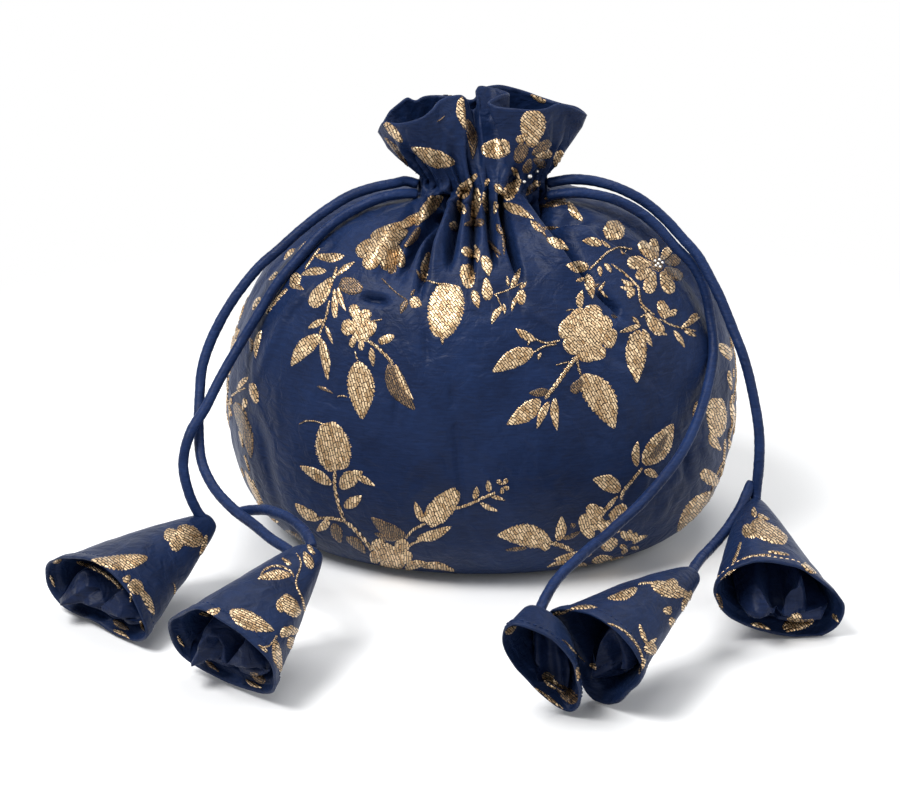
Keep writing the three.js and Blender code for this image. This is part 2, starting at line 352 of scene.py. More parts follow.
bag_silk = silk_brocade("navy_silk_brocade", NAVY, NAVY_LIFTED)
tassel_silk = silk_brocade("navy_silk_of_the_tassels", linear(11, 23, 48), linear(23, 39, 72))
bud_silk = silk_brocade("navy_silk_of_the_buds", linear(10, 20, 44), linear(22, 36, 68))
cord_silk = silk_brocade("navy_satin_piping", linear(12, 26, 56), linear(27, 47, 88), 1.4)
gold_floats = zari_thread("gold_zari_floats", GOLD, GOLD_SHADE, GOLD_GAP, 2.3, 1.15)
gold_stems = zari_thread("gold_zari_stems", GOLD, GOLD_SHADE, GOLD_GAP, 1.7, 0.9)
tassel_floats = zari_thread("fine_zari_floats", GOLD, GOLD_SHADE, GOLD_GAP, 1.9, 1.0, lift=1.2)
tassel_stems = zari_thread("fine_zari_stems", GOLD, GOLD_SHADE, GOLD_GAP, 1.5, 0.8)
# Zari of the dull_ parts: darkened partly for wear and partly as painted shade
gold_worn_and_painted_shade = zari_thread("worn_zari_with_painted_shade", WORN_AND_PAINTED_SHADE_GOLD, WORN_AND_PAINTED_SHADE_GOLD_DARKER, WORN_GAP, 1.7, 0.9, metal=0.5)


# cords

CORD_DIAMETER = 4.5
CORD_SIDES = 20
CORD_STEP = 1.1
# Millimetres of cord in which its seam turns by one radian
SEAM_LAY = 26
# Heights of the cover's seam, kinks and ripples, as shares of the radius
SEAM_RISE, KINK_RISE, RIPPLE_RISE = 0.07, 0.045, 0.02
KINK_LENGTH = 3.2

# Routes as in the part's source, apart from the ends, which go on into the tassels' tips, and the lower
# part of right_inner, which ends where the photograph shows it
CORD_ROUTES = {
    "left_outer": [
        (-28.6, -3, 163.5), (-34, -3, 165), (-39, -5, 164.6), (-48, -6, 163), (-58, -8, 160),
        (-69, -11, 154), (-79, -14, 147), (-90, -18, 138), (-98, -22, 132), (-110, -28, 118),
        (-119, -35, 103), (-123, -41, 92), (-124, -48, 81), (-124, -58, 69), (-122, -70, 59),
        (-116, -82, 52), (-107, -95, 48), (-98, -108, 47), (-89, -122, 46), (-82.4, -131.2, 46),
        (-79, -135.6, 45),
    ],
    "left_inner": [
        (-29, -8, 160.8), (-34, -9, 161.2), (-43, -10, 160), (-53, -12, 156.6), (-63, -15, 151.6),
        (-72, -19, 145), (-80, -23, 137), (-90, -27, 126), (-97, -31, 115.6), (-106, -37, 102),
        (-114, -45, 90), (-121, -57, 79), (-127, -66, 71), (-130, -71, 59), (-128, -75, 48),
        (-124, -77, 38.6), (-121, -76.6, 34),
    ],
    "left_branch": [
        (-106.2, -91.2, 44.1), (-101.6, -92.4, 46), (-96.9, -95, 47.5), (-92.3, -99.5, 49.5),
        (-87.8, -104.5, 50.3), (-83.3, -110, 51), (-79.2, -116, 50.9), (-75.5, -122.5, 50.2),
        (-72.9, -129, 49), (-71.6, -132.8, 47.2),
    ],
    "right_outer": [
        (28.6, -3, 164), (34, -4, 165.5), (39, -5, 166.5), (49, -6, 166), (61, -9, 163), (71, -11, 158),
        (80, -14, 151), (88, -18, 143), (94, -22, 137), (99, -27, 129), (104, -33, 120), (109, -40, 109),
        (114, -48, 97), (118, -55, 81), (120, -61, 68), (120, -65, 55), (119, -67, 42.5),
        (118.6, -69.5, 38.5),
    ],
    "right_inner": [
        (28.8, -8, 160), (35, -10, 161.4), (44, -11, 162), (57, -13, 160), (68, -15, 155),
        (76, -17, 149), (84, -18, 140), (92, -20, 132), (97, -23, 123), (100, -29, 110), (101, -38, 98),
        (98, -50, 87), (93, -62, 76), (85, -75, 65), (75, -87, 56.5), (66, -96, 50), (57, -105, 45.6),
        (50.5, -113.6, 43.4), (44.8, -121.6, 42.6), (37.4, -133.8, 41.4), (30.5, -144.8, 39.6),
        (26, -153.8, 37.2), (22.8, -161.8, 34.4), (21.2, -166.8, 31.9), (20.8, -169.5, 29.9),
    ],
    "right_branch": [
        (117, -65, 47), (114.5, -69.5, 43.5), (111.4, -75.5, 39.4), (106.8, -83.5, 35.8),
        (101.4, -93.5, 33.8), (95.9, -105, 33.6), (91, -118, 35.2), (87.5, -130, 37), (85.6, -138, 38.2),
    ],
}


def cord_radius(along, total, angle, seed):
    """Radius of the cord's cover at one place, drawn in a little at both ends."""
    seam = SEAM_RISE * max(0.0, math.cos(angle - along / SEAM_LAY + seed)) ** 24
    kink = KINK_RISE * noise.noise(Vector((along / KINK_LENGTH, angle * 1.3, seed * 3.1)))
    ripple = RIPPLE_RISE * math.sin(along * 1.9 + 2.5 * math.sin(angle + seed))
    ends = min(1.0, 0.9 + along * 0.1, 0.9 + (total - along) * 0.1)
    return CORD_DIAMETER / 2 * (1 + seam + kink + ripple) * ends


def make_cord(place, route):
    """Fabric piping: a round cord with the small kinks and the seam ridge of its cover."""
    path = curve_through(route, int(length_of(route) / CORD_STEP) + 2)
    along = np.concatenate([[0], np.cumsum(np.linalg.norm(np.diff(path, axis=0), axis=1))])
    points, uvs = [], []
    normal = Vector((0, 0, 1))
    seed = 1 + list(CORD_ROUTES).index(place)
    for i, centre in enumerate(path):
        ahead = Vector(path[min(i + 1, len(path) - 1)] - path[max(i - 1, 0)]).normalized()
        normal = (normal - ahead * normal.dot(ahead)).normalized()
        side = ahead.cross(normal)
        for step in range(CORD_SIDES):
            angle = 2 * math.pi * step / CORD_SIDES
            radius = cord_radius(along[i], along[-1], angle, seed)
            spread = (normal * math.cos(angle) + side * math.sin(angle)) * radius
            points.append(tuple(Vector(centre) + spread))
            uvs.append((along[i], angle * CORD_DIAMETER / 2))
    faces = ring_faces(len(path), CORD_SIDES)
    faces.append(tuple(reversed(range(CORD_SIDES))))
    faces.append(tuple(range((len(path) - 1) * CORD_SIDES, len(path) * CORD_SIDES)))
    piece = mesh_piece("piping_" + place, points, faces, cord_silk, uvs)
    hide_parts("cord_" + place)
    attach(piece, "root")
    return piece, path


set_up_camera()
cords, cord_paths = {}, {}
for place, route in CORD_ROUTES.items():
    cords[place], cord_paths[place] = make_cord(place, route)


# the bag's cloth

BODY_WIDTH, BODY_DEPTH, WIDEST_HEIGHT = 231.0, 178.0, 62.0
BASE_WIDTH, BASE_DEPTH = 162.0, 108.0
NECK_WIDTH, NECK_DEPTH, NECK_HEIGHT = 56.0, 44.0, 158.0
CASING_HEIGHT, CASING_SWELL = 9.0, 0.8
CUP_FLOOR_HEIGHT = 171.0
CLOTH_THICKNESS = 1.3
FRILL_BULGE = 2.2
RIM_ROLL = 0.5
GATHER_COUNT, GATHER_DEPTH = 13, 5.2
PLEAT_COUNT, PLEAT_DEPTH = 26, 3.2
PLEAT_WANDER = 0.16
FRONT_DRAW = 1.6
FULLNESS = 1.6
# Where the neck's pleats and the shoulder's gathers begin and are full: 0 is the widest level, 1 the neck
PLEATS_FROM, PLEATS_FULL = 0.72, 1.0
GATHERS_FROM, GATHERS_FULL = 0.05, 0.65

# Dents of the cloth: size, height and seed; the creases are sharp, and the limp ones are the frill's
BROAD_DENTS, SMALL_DENTS, CREASES, LIMP_DENTS = (34, 1.3, 1), (11, 0.35, 2), (17, 0.55, 3), (13, 0.9, 4)
# The body's dents fade out below this height, where the cloth is pressed flat, and above this one
PRESSED_BELOW, TAUT_ABOVE = 18.0, 120

# How much of the frill's height its hollow takes, and how wide the hollow's floor is
CUP_SHARE, CUP_FLOOR_SHARE = 0.93, 0.4
RIM_STEPS = 900

AROUND = 460
BASE_RINGS, LOWER_RINGS, UPPER_RINGS, CASING_RINGS, FRILL_RINGS, CUP_RINGS = 6, 38, 92, 8, 34, 26
NECK_LEVEL = BASE_RINGS + LOWER_RINGS + 1 + UPPER_RINGS + CASING_RINGS
CASING_SEAM_LEVELS = (NECK_LEVEL - CASING_RINGS - 3, NECK_LEVEL + 1)
CASING_STITCH_LIFT = 0.1

# Folds that the photograph shows: height in millimetres, how far they reach to the left and right
# of their line in pixels, and the line from the neck downwards in pixels
PHOTO_FOLDS = [
    (3.6, 11, 8, [(436, 198), (410, 222), (378, 256), (352, 292)]),
    (-6.0, 5, 5, [(440, 200), (426, 222), (412, 244), (403, 268), (396, 292)]),
    (-5.5, 3.2, 4, [(447, 197), (436, 224), (427, 250), (421, 282), (418, 312)]),
    (4.2, 6, 6, [(454, 200), (444, 226), (436, 252), (431, 290)]),
    (-6.0, 3, 3.6, [(461, 196), (455, 222), (450, 248), (447, 280)]),
    (3.4, 4, 4, [(468, 198), (464, 226), (461, 250), (459, 275)]),
    (-5.6, 2.6, 3, [(474, 196), (473, 225), (472, 252), (470, 296)]),
    (3.0, 4, 4, [(481, 198), (482, 230), (484, 262)]),
    (-5.6, 2.8, 2.6, [(487, 196), (489, 222), (493, 250), (496, 276)]),
    (3.0, 3, 3, [(494, 198), (498, 222), (504, 248)]),
    (-6.4, 3, 3.6, [(499, 197), (504, 222), (512, 250), (524, 292)]),
    (6.2, 15, 7, [(514, 200), (531, 224), (555, 254), (580, 286), (597, 312)]),
    (-5.2, 3, 8, [(540, 214), (556, 237), (574, 262), (592, 286), (607, 306)]),
    (-6.0, 6, 7, [(536, 200), (556, 213), (578, 218), (600, 224)]),
    (3.2, 7, 8, [(552, 224), (582, 234), (612, 248), (642, 268)]),
    (-2.6, 4, 5, [(584, 232), (612, 242), (640, 256), (664, 276)]),
    (-3.4, 2.4, 3.2, [(594, 288), (606, 300), (616, 310), (617, 318), (630, 318)]),
    (2.2, 6, 6, [(606, 322), (622, 330), (640, 340)]),
    (-3.2, 3.5, 3.5, [(358, 297), (376, 299), (394, 304)]),
    (-4.6, 6, 6, [(416, 214), (400, 236), (390, 260), (380, 286)]),
    (2.4, 7, 3, [(322, 272), (304, 296), (288, 318), (278, 340), (266, 364), (251, 398)]),
    (-1.8, 3, 5, [(425, 326), (426, 350), (428, 374)]),
    (-1.8, 2.4, 3, [(449, 384), (452, 398), (453, 414)]),
    (-1.8, 2.4, 3, [(396, 388), (395, 408), (394, 434)]),
    (-1.4, 2.5, 4, [(455, 400), (456, 440), (459, 480), (463, 520), (465, 552)]),
    (-1.8, 3, 6, [(253, 408), (262, 444), (272, 482), (287, 516)]),
    (-2.0, 4, 4, [(689, 436), (686, 462), (688, 494)]),
    (1.2, 4, 4, [(700, 440), (708, 455), (720, 470)]),
    (1.1, 5, 5, [(668, 494), (661, 510), (652, 526)]),
    (-1.1, 3, 4, [(640, 470), (628, 495), (614, 520)]),
    (1.0, 8, 8, [(500, 425), (540, 422), (580, 430)]),
    (-1.0, 4, 6, [(600, 352), (640, 372), (668, 398)]),
    (1.3, 5, 5, [(520, 300), (536, 318), (560, 330)]),
    (-1.0, 4, 4, [(310, 390), (330, 402), (352, 408)]),
    (-1.2, 4, 5, [(340, 236), (325, 252), (312, 272)]),
    (1.0, 6, 6, [(400, 500), (430, 484), (470, 478)]),
    (-0.9, 3, 4, [(545, 470), (560, 492), (568, 520)]),
]

# The gathers' valleys, which are lower than this, are deeper than the table says by this factor
VALLEY, VALLEY_DEPTH = -2.5, 1.8
# Folds that start lower in the photograph than this fade in as well as out
OPEN_START_BELOW = 215
# No fold reaches further than this from its middle, in pixels
FOLD_REACH = 130

# The same for the frill, with the lines from the neck upwards
FRILL_FOLDS = [
    (-3.0, 5, 5, [(452, 196), (446, 180), (440, 165), (436, 150)]),
    (-2.6, 4, 6, [(466, 196), (459, 176), (455, 158), (452, 140)]),
    (-3.5, 5, 4, [(476, 196), (474, 176), (472, 150), (471, 125)]),
    (-2.6, 4, 4, [(489, 196), (487, 178), (484, 160)]),
    (2.0, 5, 5, [(497, 198), (502, 182), (508, 165)]),
    (-3.0, 5, 4, [(507, 198), (514, 180), (519, 162)]),
    (-2.4, 4, 4, [(524, 196), (534, 180), (546, 160), (556, 138)]),
    (-2.6, 6, 4, [(434, 190), (420, 172), (408, 156), (400, 140)]),
]

# Rim of the frill: angle at the neck in degrees (0 is the right, 270 the front), pixel, depth in millimetres
FRILL_RIM = [
    (180, 377, 133, 0), (188, 383, 123, -7), (198, 397, 125, -15), (210, 411, 122, -19),
    (222, 424, 117, -20), (234, 434, 109, -17), (243, 441, 101, -13), (250, 451, 97, -10),
    (258, 463, 96, -7), (265, 469, 101, -3), (270, 473, 110, 0), (274, 477, 98, -1), (278, 479, 87, 2),
    (283, 492, 88, 3), (288, 507, 94, -3), (294, 499, 96, -9), (300, 489, 103, -15),
    (307, 500, 108, -18), (315, 517, 110, -20), (325, 534, 111, -18), (335, 548, 109, -14),
    (343, 558, 105, -10), (352, 572, 108, -6), (360, 587, 115, 0), (370, 578, 108, 7),
    (382, 562, 104, 12), (394, 546, 99, 15), (406, 530, 93, 17), (418, 512, 88, 16), (430, 496, 86, 13),
    (441, 482, 89, 9), (450, 473, 99, 6), (459, 466, 99, 9), (470, 454, 97, 13), (482, 438, 96, 16),
    (494, 425, 97, 15), (503, 415, 101, 12), (512, 407, 98, 11), (522, 398, 104, 9), (532, 388, 114, 5),
]


def fold_shift(pixels, folds):
    """Height in millimetres that the folds give each pixel; a fold fades out over its last part."""
    shift = np.zeros(len(pixels))
    for height, left, right, line in folds:
        line = curve_through(line, CURVE_STEPS)
        start, end = line[:-1], line[1:]
        step = end - start
        length = np.linalg.norm(step, axis=1)
        near = (np.abs(pixels - line.mean(axis=0)) < FOLD_REACH).all(axis=1)
        spots = pixels[near]
        if not len(spots):
            continue
        offset = spots[:, None, :] - start[None]
        share = np.clip((offset * step).sum(-1) / (length ** 2), 0, 1)
        gap = offset - share[..., None] * step
        distance = np.linalg.norm(gap, axis=-1)
        best = distance.argmin(axis=1)
        rows = np.arange(len(spots))
        cross = step[best, 0] * gap[rows, best, 1] - step[best, 1] * gap[rows, best, 0]
        reach = np.where(cross > 0, left, right)
        along = (best + share[rows, best]) / len(start)
        fade = 1 - smoothstep(along, 0.5, 1.0)
        if line[0, 1] > OPEN_START_BELOW:
            fade = fade * smoothstep(along, 0.0, 0.3)
        depth = height * (VALLEY_DEPTH if height < VALLEY else 1.0)
        shift[near] += depth * fade * np.exp(-(distance[rows, best] / reach) ** 2)
    return shift


def ridges(angle, count):
    """Soft ridges with sharp valleys, count of them round the bag, from 0 down to -1."""
    wander = PLEAT_WANDER * np.sin(3 * angle + 1)
    return np.abs(np.cos((count / 2) * (angle + wander / 2))) - 1


def round_angles():
    """Angles round the bag, closer together at the front."""
    even = 2 * np.pi * np.arange(AROUND) / AROUND
    return even - 0.25 * np.cos(even)


def cloth_ring(angles, width, depth, height, rise):
    """One level of the body before its own folds: pleats near the neck and gathers at the back and sides.
    rise is 0 at the widest level and 1 at the neck."""
    near_neck = smoothstep(rise, PLEATS_FROM, PLEATS_FULL)
    on_shoulder = smoothstep(rise, GATHERS_FROM, GATHERS_FULL) * (1 - near_neck)
    front = smoothstep(-np.sin(angles), 0.15, 0.6)
    gathers = GATHER_DEPTH * on_shoulder * (ridges(angles, GATHER_COUNT) + 0.25) * (1 - front)
    pleats = PLEAT_DEPTH * near_neck * ridges(angles, PLEAT_COUNT) * (1 - 0.75 * front)
    drawn_in = FRONT_DRAW * near_neck * front
    fullness = FULLNESS * on_shoulder * (0.6 * np.sin(5 * angles) + 0.4 * np.sin(8 * angles + 2))
    fold = gathers + pleats - drawn_in + fullness
    return np.stack([(width / 2 + fold) * np.cos(angles), (depth / 2 + fold) * np.sin(angles),
                     np.full(len(angles), height)], axis=1)


def body_rings(angles):
    """The body from near the middle of its base up to the top of the casing."""
    rings = []
    for step in range(1, BASE_RINGS + 1):
        share = step / (BASE_RINGS + 1)
        rings.append(cloth_ring(angles, BASE_WIDTH * share, BASE_DEPTH * share, 0.0, 0))
    for step in range(LOWER_RINGS + 1):
        arc = math.pi / 2 * step / LOWER_RINGS
        width = BASE_WIDTH + (BODY_WIDTH - BASE_WIDTH) * math.sin(arc)
        depth = BASE_DEPTH + (BODY_DEPTH - BASE_DEPTH) * math.sin(arc)
        rings.append(cloth_ring(angles, width, depth, WIDEST_HEIGHT * (1 - math.cos(arc)), 0))
    for step in range(1, UPPER_RINGS + 1):
        arc = math.pi / 2 * step / UPPER_RINGS
        width = NECK_WIDTH + (BODY_WIDTH - NECK_WIDTH) * math.cos(arc)
        depth = NECK_DEPTH + (BODY_DEPTH - NECK_DEPTH) * math.cos(arc)
        height = WIDEST_HEIGHT + (NECK_HEIGHT - WIDEST_HEIGHT) * math.sin(arc)
        rings.append(cloth_ring(angles, width, depth, height, step / UPPER_RINGS))
    for step in range(1, CASING_RINGS + 1):
        height = NECK_HEIGHT + CASING_HEIGHT * step / CASING_RINGS
        swell = CASING_SWELL * math.sin(math.pi * step / CASING_RINGS)
        rings.append(cloth_ring(angles, NECK_WIDTH + swell, NECK_DEPTH + swell, height, 1))
    return rings


def frill_rim(angles):
    """Rim point in millimetres above each neck angle."""
    marks = [(a % 360, pixel_at_depth(u, v, y)) for a, u, v, y in FRILL_RIM]
    marks.sort(key=lambda mark: mark[0])
    loop = curve_through([tuple(mark[1]) for mark in marks], RIM_STEPS, closed=True)
    known = [mark[0] for mark in marks]
    spots = [int(np.linalg.norm(loop - np.array(tuple(mark[1])), axis=1).argmin()) for mark in marks]
    spots[0] = 0
    for i in range(1, len(spots)):
        spots[i] = max(spots[i], spots[i - 1] + 1)
    known.append(known[0] + 360)
    spots.append(len(loop))
    wanted = np.degrees(angles) % 360
    wanted = np.where(wanted < known[0], wanted + 360, wanted)
    place = np.interp(wanted, known, spots)
    closed = np.vstack([loop, loop[:1]])
    return np.stack([np.interp(place, np.arange(len(closed)), closed[:, axis]) for axis in range(3)], axis=1)


def frill_rings(angles, foot):
    """The frill from the casing up to its rim, bulged outwards where it is wide."""
    rim = frill_rim(angles)
    width = np.minimum(np.linalg.norm(rim[:, :2], axis=1) / 30, 1)[:, None]
    rings = []
    for step in range(1, FRILL_RINGS + 1):
        flare = step / FRILL_RINGS
        ring = foot + (rim - foot) * flare
        bulge = FRILL_BULGE * math.sin(math.pi * flare)
        outward = ring[:, :2] / np.maximum(np.linalg.norm(ring[:, :2], axis=1), 1)[:, None]
        ring[:, :2] += outward * bulge * width
        rings.append(ring)
    return rings


def dents(points, kind):
    """Heights of one kind of dent at the points."""
    size, height, seed = kind
    return height * soft_noise(points, size, seed)


def fold_heights(grid, out):
    """How far each point of the smooth cloth moves outwards: the photograph's folds, dents and creases."""
    flat = grid.reshape(-1, 3)
    pixels = to_pixels(flat)
    towards = np.array(camera_place) / MM - flat
    towards /= np.linalg.norm(towards, axis=1)[:, None]
    faces_camera = smoothstep((out.reshape(-1, 3) * towards).sum(1), 0.05, 0.3)
    level = np.repeat(np.arange(len(grid)), AROUND)
    on_body = (level > BASE_RINGS + 2) & (level < NECK_LEVEL)
    in_frill = level >= NECK_LEVEL - CASING_RINGS // 2
    flare = np.clip((level - NECK_LEVEL + CASING_RINGS / 2) / FRILL_RINGS, 0, 1)
    below_rim = 1 - smoothstep(flare, 0.75, 1.0)
    height = np.zeros(len(flat))
    height[on_body] += fold_shift(pixels[on_body], PHOTO_FOLDS) * faces_camera[on_body]
    height[in_frill] += fold_shift(pixels[in_frill], FRILL_FOLDS) * (faces_camera * below_rim)[in_frill]
    crease_size, crease_height, crease_seed = CREASES
    creased = np.clip(1 - np.abs(soft_noise(flat * (1, 1, 0.55), crease_size, crease_seed)) * 2, 0, 1)
    above_base = smoothstep(flat[:, 2], 1.0, PRESSED_BELOW)
    below_neck = 1 - smoothstep(flat[:, 2], TAUT_ABOVE, NECK_HEIGHT)
    height += above_base * (dents(flat, BROAD_DENTS) * below_neck + dents(flat, SMALL_DENTS)
                            + crease_height * creased ** 3)
    height += smoothstep(flare, 0.1, 0.5) * in_frill * dents(flat, LIMP_DENTS)
    return height.reshape(grid.shape[:2])


def inside_of_frill(frill):
    """The frill's wall turned over at the rim and taken down inside to the floor over the casing."""
    wall_out = outward_of(frill)
    for _ in range(3):
        wall_out = (np.roll(wall_out, 1, axis=1) + 2 * wall_out + np.roll(wall_out, -1, axis=1)) / 4
    inner = frill - wall_out * CLOTH_THICKNESS
    rows = [(frill[-1] + inner[-1]) / 2 + (0, 0, RIM_ROLL)]
    for step in range(CUP_RINGS + 1):
        row = (FRILL_RINGS - 1) * (1 - CUP_SHARE * step / CUP_RINGS)
        low = int(row)
        high = min(low + 1, FRILL_RINGS - 1)
        rows.append(inner[low] + (inner[high] - inner[low]) * (row - low))
    rows.append(rows[-1] * (CUP_FLOOR_SHARE, CUP_FLOOR_SHARE, 0) + (0, 0, CUP_FLOOR_HEIGHT))
    return rows


def make_bag_cloth():
    """The bag's cloth, and the two lines along which its casing is sewn."""
    angles = round_angles()
    rings = body_rings(angles)
    grid = np.array(rings + frill_rings(angles, rings[-1]))
    out = outward_of(grid)
    out[:BASE_RINGS] = (0, 0, -1)
    grid = grid + out * fold_heights(grid, out)[..., None]
    grid[..., 2] = np.maximum(grid[..., 2], 0.0)
    rows = list(grid) + inside_of_frill(grid[-FRILL_RINGS:])
    points = np.vstack(rows + [[(0, 0, 0), (0, 0, CUP_FLOOR_HEIGHT)]])
    piece = mesh_piece("bag_cloth", points, closed_faces(len(rows), AROUND), bag_silk)
    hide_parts("bag")
    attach(piece, "root")
    return piece, [grid[level] + out[level] * CASING_STITCH_LIFT for level in CASING_SEAM_LEVELS]


bag_cloth, casing_seams = make_bag_cloth()


# running stitches, laid along a line by geometry nodes

STITCH_PITCH, STITCH_LENGTH, THREAD_WIDTH = 2.7, 1.8, 0.6
CASING_PITCH, CASING_STITCH_LENGTH, CASING_THREAD_WIDTH = 2.4, 1.5, 0.45
GOLD_THREAD_WIDTH = 0.8


def running_stitch_nodes():
    """A group that lays rounded stitches end to end along a line of edges, and its inputs' identifiers."""
    group = bpy.data.node_groups.new("running_stitches", 'GeometryNodeTree')
    sockets = {}
    for label, kind in (("Seam Line", 'NodeSocketGeometry'), ("Thread", 'NodeSocketMaterial')):
        sockets[label] = group.interface.new_socket(label, in_out='INPUT', socket_type=kind).identifier
    for label, size in (("Pitch", STITCH_PITCH), ("Stitch Length", STITCH_LENGTH),
                        ("Thread Width", THREAD_WIDTH)):
        socket = group.interface.new_socket(label, in_out='INPUT', socket_type='NodeSocketFloat')
        socket.default_value = size * MM
        sockets[label] = socket.identifier
    group.interface.new_socket("Stitches", in_out='OUTPUT', socket_type='NodeSocketGeometry')
    given = add_node(group, "NodeGroupInput").outputs
    line = add_node(group, "GeometryNodeMeshToCurve", Mesh=given["Seam Line"])
    steps = add_node(group, "GeometryNodeResampleCurve", settings={"mode": 'LENGTH'},
                     Curve=line.outputs["Curve"], Length=given["Pitch"])
    stitch = add_node(group, "GeometryNodeMeshUVSphere", Segments=6, Rings=5, Radius=0.5)
    size = add_node(group, "ShaderNodeCombineXYZ", X=given["Stitch Length"], Y=given["Thread Width"],
                    Z=given["Thread Width"])
    tangent = add_node(group, "GeometryNodeInputTangent")
    turn = add_node(group, "FunctionNodeAlignRotationToVector", settings={"axis": 'X'},
                    Vector=tangent.outputs["Tangent"])
    laid = add_node(group, "GeometryNodeInstanceOnPoints", Points=steps.outputs["Curve"],
                    Instance=stitch.outputs["Mesh"], Rotation=turn.outputs["Rotation"],
                    Scale=size.outputs["Vector"])
    real = add_node(group, "GeometryNodeRealizeInstances", Geometry=laid.outputs["Instances"])
    dyed = add_node(group, "GeometryNodeSetMaterial", Geometry=real.outputs["Geometry"],
                    Material=given["Thread"])
    add_node(group, "NodeGroupOutput", Stitches=dyed.outputs["Geometry"])
    return group, sockets


STITCH_NODES, STITCH_SOCKETS = running_stitch_nodes()


def sew(name, line_mm, thread, pitch=STITCH_PITCH, length=STITCH_LENGTH, width=THREAD_WIDTH):
    """A row of running stitches round the closed line, as a mesh of its own."""
    count = len(line_mm)
    seam = bpy.data.meshes.new(name + "_seam")
    seam.from_pydata((np.asarray(line_mm) * MM).tolist(), [(i, (i + 1) % count) for i in range(count)], [])
    piece = add_object(name, seam)
    nodes = piece.modifiers.new("running_stitches", 'NODES')
    nodes.node_group = STITCH_NODES
    nodes[STITCH_SOCKETS["Pitch"]] = pitch * MM
    nodes[STITCH_SOCKETS["Stitch Length"]] = length * MM
    nodes[STITCH_SOCKETS["Thread Width"]] = width * MM
    nodes[STITCH_SOCKETS["Thread"]] = thread
    bpy.context.view_layer.update()
    evaluated = piece.evaluated_get(bpy.context.evaluated_depsgraph_get())
    sewn = bpy.data.meshes.new_from_object(evaluated)
    piece.modifiers.clear()
    piece.data = sewn
    sewn.polygons.foreach_set("use_smooth", [True] * len(sewn.polygons))
    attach(piece, "root")
    return piece


# tassels

TASSEL_TIP_HEIGHT = 9.0
TASSEL_FLARE = 0.85
TASSEL_WALL = 1.3
HEM_WIDTH, HEM_RISE = 5.0, 0.85
# Rings that round the tip off, as shares of its width
TIP_ROUNDING = (0.25, 0.6, 0.88)
# The hollow inside starts at this share of the cone's length
HOLLOW_START = 0.12
TASSEL_STEPS, TASSEL_RINGS = 112, 64
LOWEST_CLOTH = 0.35
LOWEST_RIM = 0.5
# The hem is sewn this many rings below the mouth, and the stitches stand out by this much
HEM_SEAM_ROW = 6
HEM_STITCH_LIFT = 0.15
# The mouth's edge is rolled forward by this much
MOUTH_ROLL = 0.6
# Size and height of the cone's dents
CONE_DENTS = ((15, 0.9), (6, 0.3))

# The spine's tip, bend and middle of the mouth are the source's, apart from front_right's tip, which lies
# where the photograph shows the end of its cord. The mouth's rim is in pixels as the photograph shows it,
# with the hidden part guessed; roll turns the cone, and recess is how deep the bud lies
TASSELS = {
    "far_left": dict(
        tip=(-120, -74, 32), bend=(-142, -96, 26), mouth=(-164, -119, 17.8), tip_width=10, roll=1, recess=5,
        rim=[(47, 566), (55, 560), (77, 558), (106, 568), (129, 593), (145, 624), (147, 635), (139, 640),
             (121, 636), (97, 622), (62, 604), (49, 586)]),
    "front_left": dict(
        tip=(-73, -135, 46), bend=(-90, -156, 34), mouth=(-107, -177, 21.3), tip_width=16, roll=15, recess=5,
        rim=[(170, 628), (178, 616), (200, 609), (238, 632), (267, 658), (275, 680), (274, 688), (263, 692),
             (228, 681), (198, 666), (180, 652)]),
    "rear_right": dict(
        tip=(85, -140, 38), bend=(64, -164, 32), mouth=(43.6, -187.6, 22.2), tip_width=10, roll=24, recess=11,
        rim=[(551, 615), (577, 612), (611, 625), (635, 650), (642, 669), (628, 693), (611, 702), (596, 700),
             (586, 690), (576, 668), (560, 640)]),
    "front_right": dict(
        tip=(22.5, -169.5, 30), bend=(24, -181, 24.5), mouth=(19, -195, 17.4), tip_width=9,
        roll=-50, recess=6, flare=0.5,
        rim=[(503, 635), (506, 626), (516, 623), (545, 635), (570, 659), (579, 686), (578, 705), (570, 711),
             (553, 703), (536, 688), (516, 667), (506, 650)]),
    "far_right": dict(
        tip=(118, -67, 37), bend=(121, -98, 29), mouth=(124, -128, 21), tip_width=10, roll=-27, recess=5,
        rim=[(715, 587), (734, 570), (759, 562), (783, 564), (807, 572), (829, 589), (843, 606), (839, 623),
             (819, 635), (783, 634), (747, 625), (722, 608)]),
}


def spine_point(tassel, along):
    tip, bend, mouth = (np.array(tassel[key], dtype=float) for key in ("tip", "bend", "mouth"))
    return (1 - along) ** 2 * tip + 2 * along * (1 - along) * bend + along ** 2 * mouth


def mouth_axes(tassel):
    """Centre of the mouth, the way it faces, and two directions in its plane, turned by the roll."""
    forward = np.array(tassel["mouth"], dtype=float) - np.array(tassel["bend"], dtype=float)
    forward /= np.linalg.norm(forward)
    level = np.cross((0, 0, 1), forward)
    level /= np.linalg.norm(level)
    upward = np.cross(forward, level)
    turn = math.radians(tassel["roll"])
    across = level * math.cos(turn) + upward * math.sin(turn)
    over = upward * math.cos(turn) - level * math.sin(turn)
    return np.array(tassel["mouth"], dtype=float), forward, across, over


def rim_loop(tassel):
    """The mouth's rim in millimetres: the photograph's outline laid on the plane of the mouth."""
    centre, forward, across, over = mouth_axes(tassel)
    eye = np.array(camera_place) / MM
    spots = []
    for u, v in tassel["rim"]:
        ray = np.array(sight(u, v))
        reach = (centre - eye) @ forward / (ray @ forward)
        spots.append(eye + ray * reach)
    loop = curve_through(spots, 720, closed=True)
    turn = np.arctan2((loop - centre) @ over, (loop - centre) @ across)
    order = np.argsort(turn)
    turn, loop = turn[order], loop[order]
    wanted = np.linspace(-np.pi, np.pi, TASSEL_STEPS, endpoint=False)
    even = np.stack([np.interp(wanted, turn, loop[:, axis], period=2 * np.pi) for axis in range(3)], axis=1)
    even[:, 2] = np.maximum(even[:, 2], LOWEST_RIM)
    return even, wanted


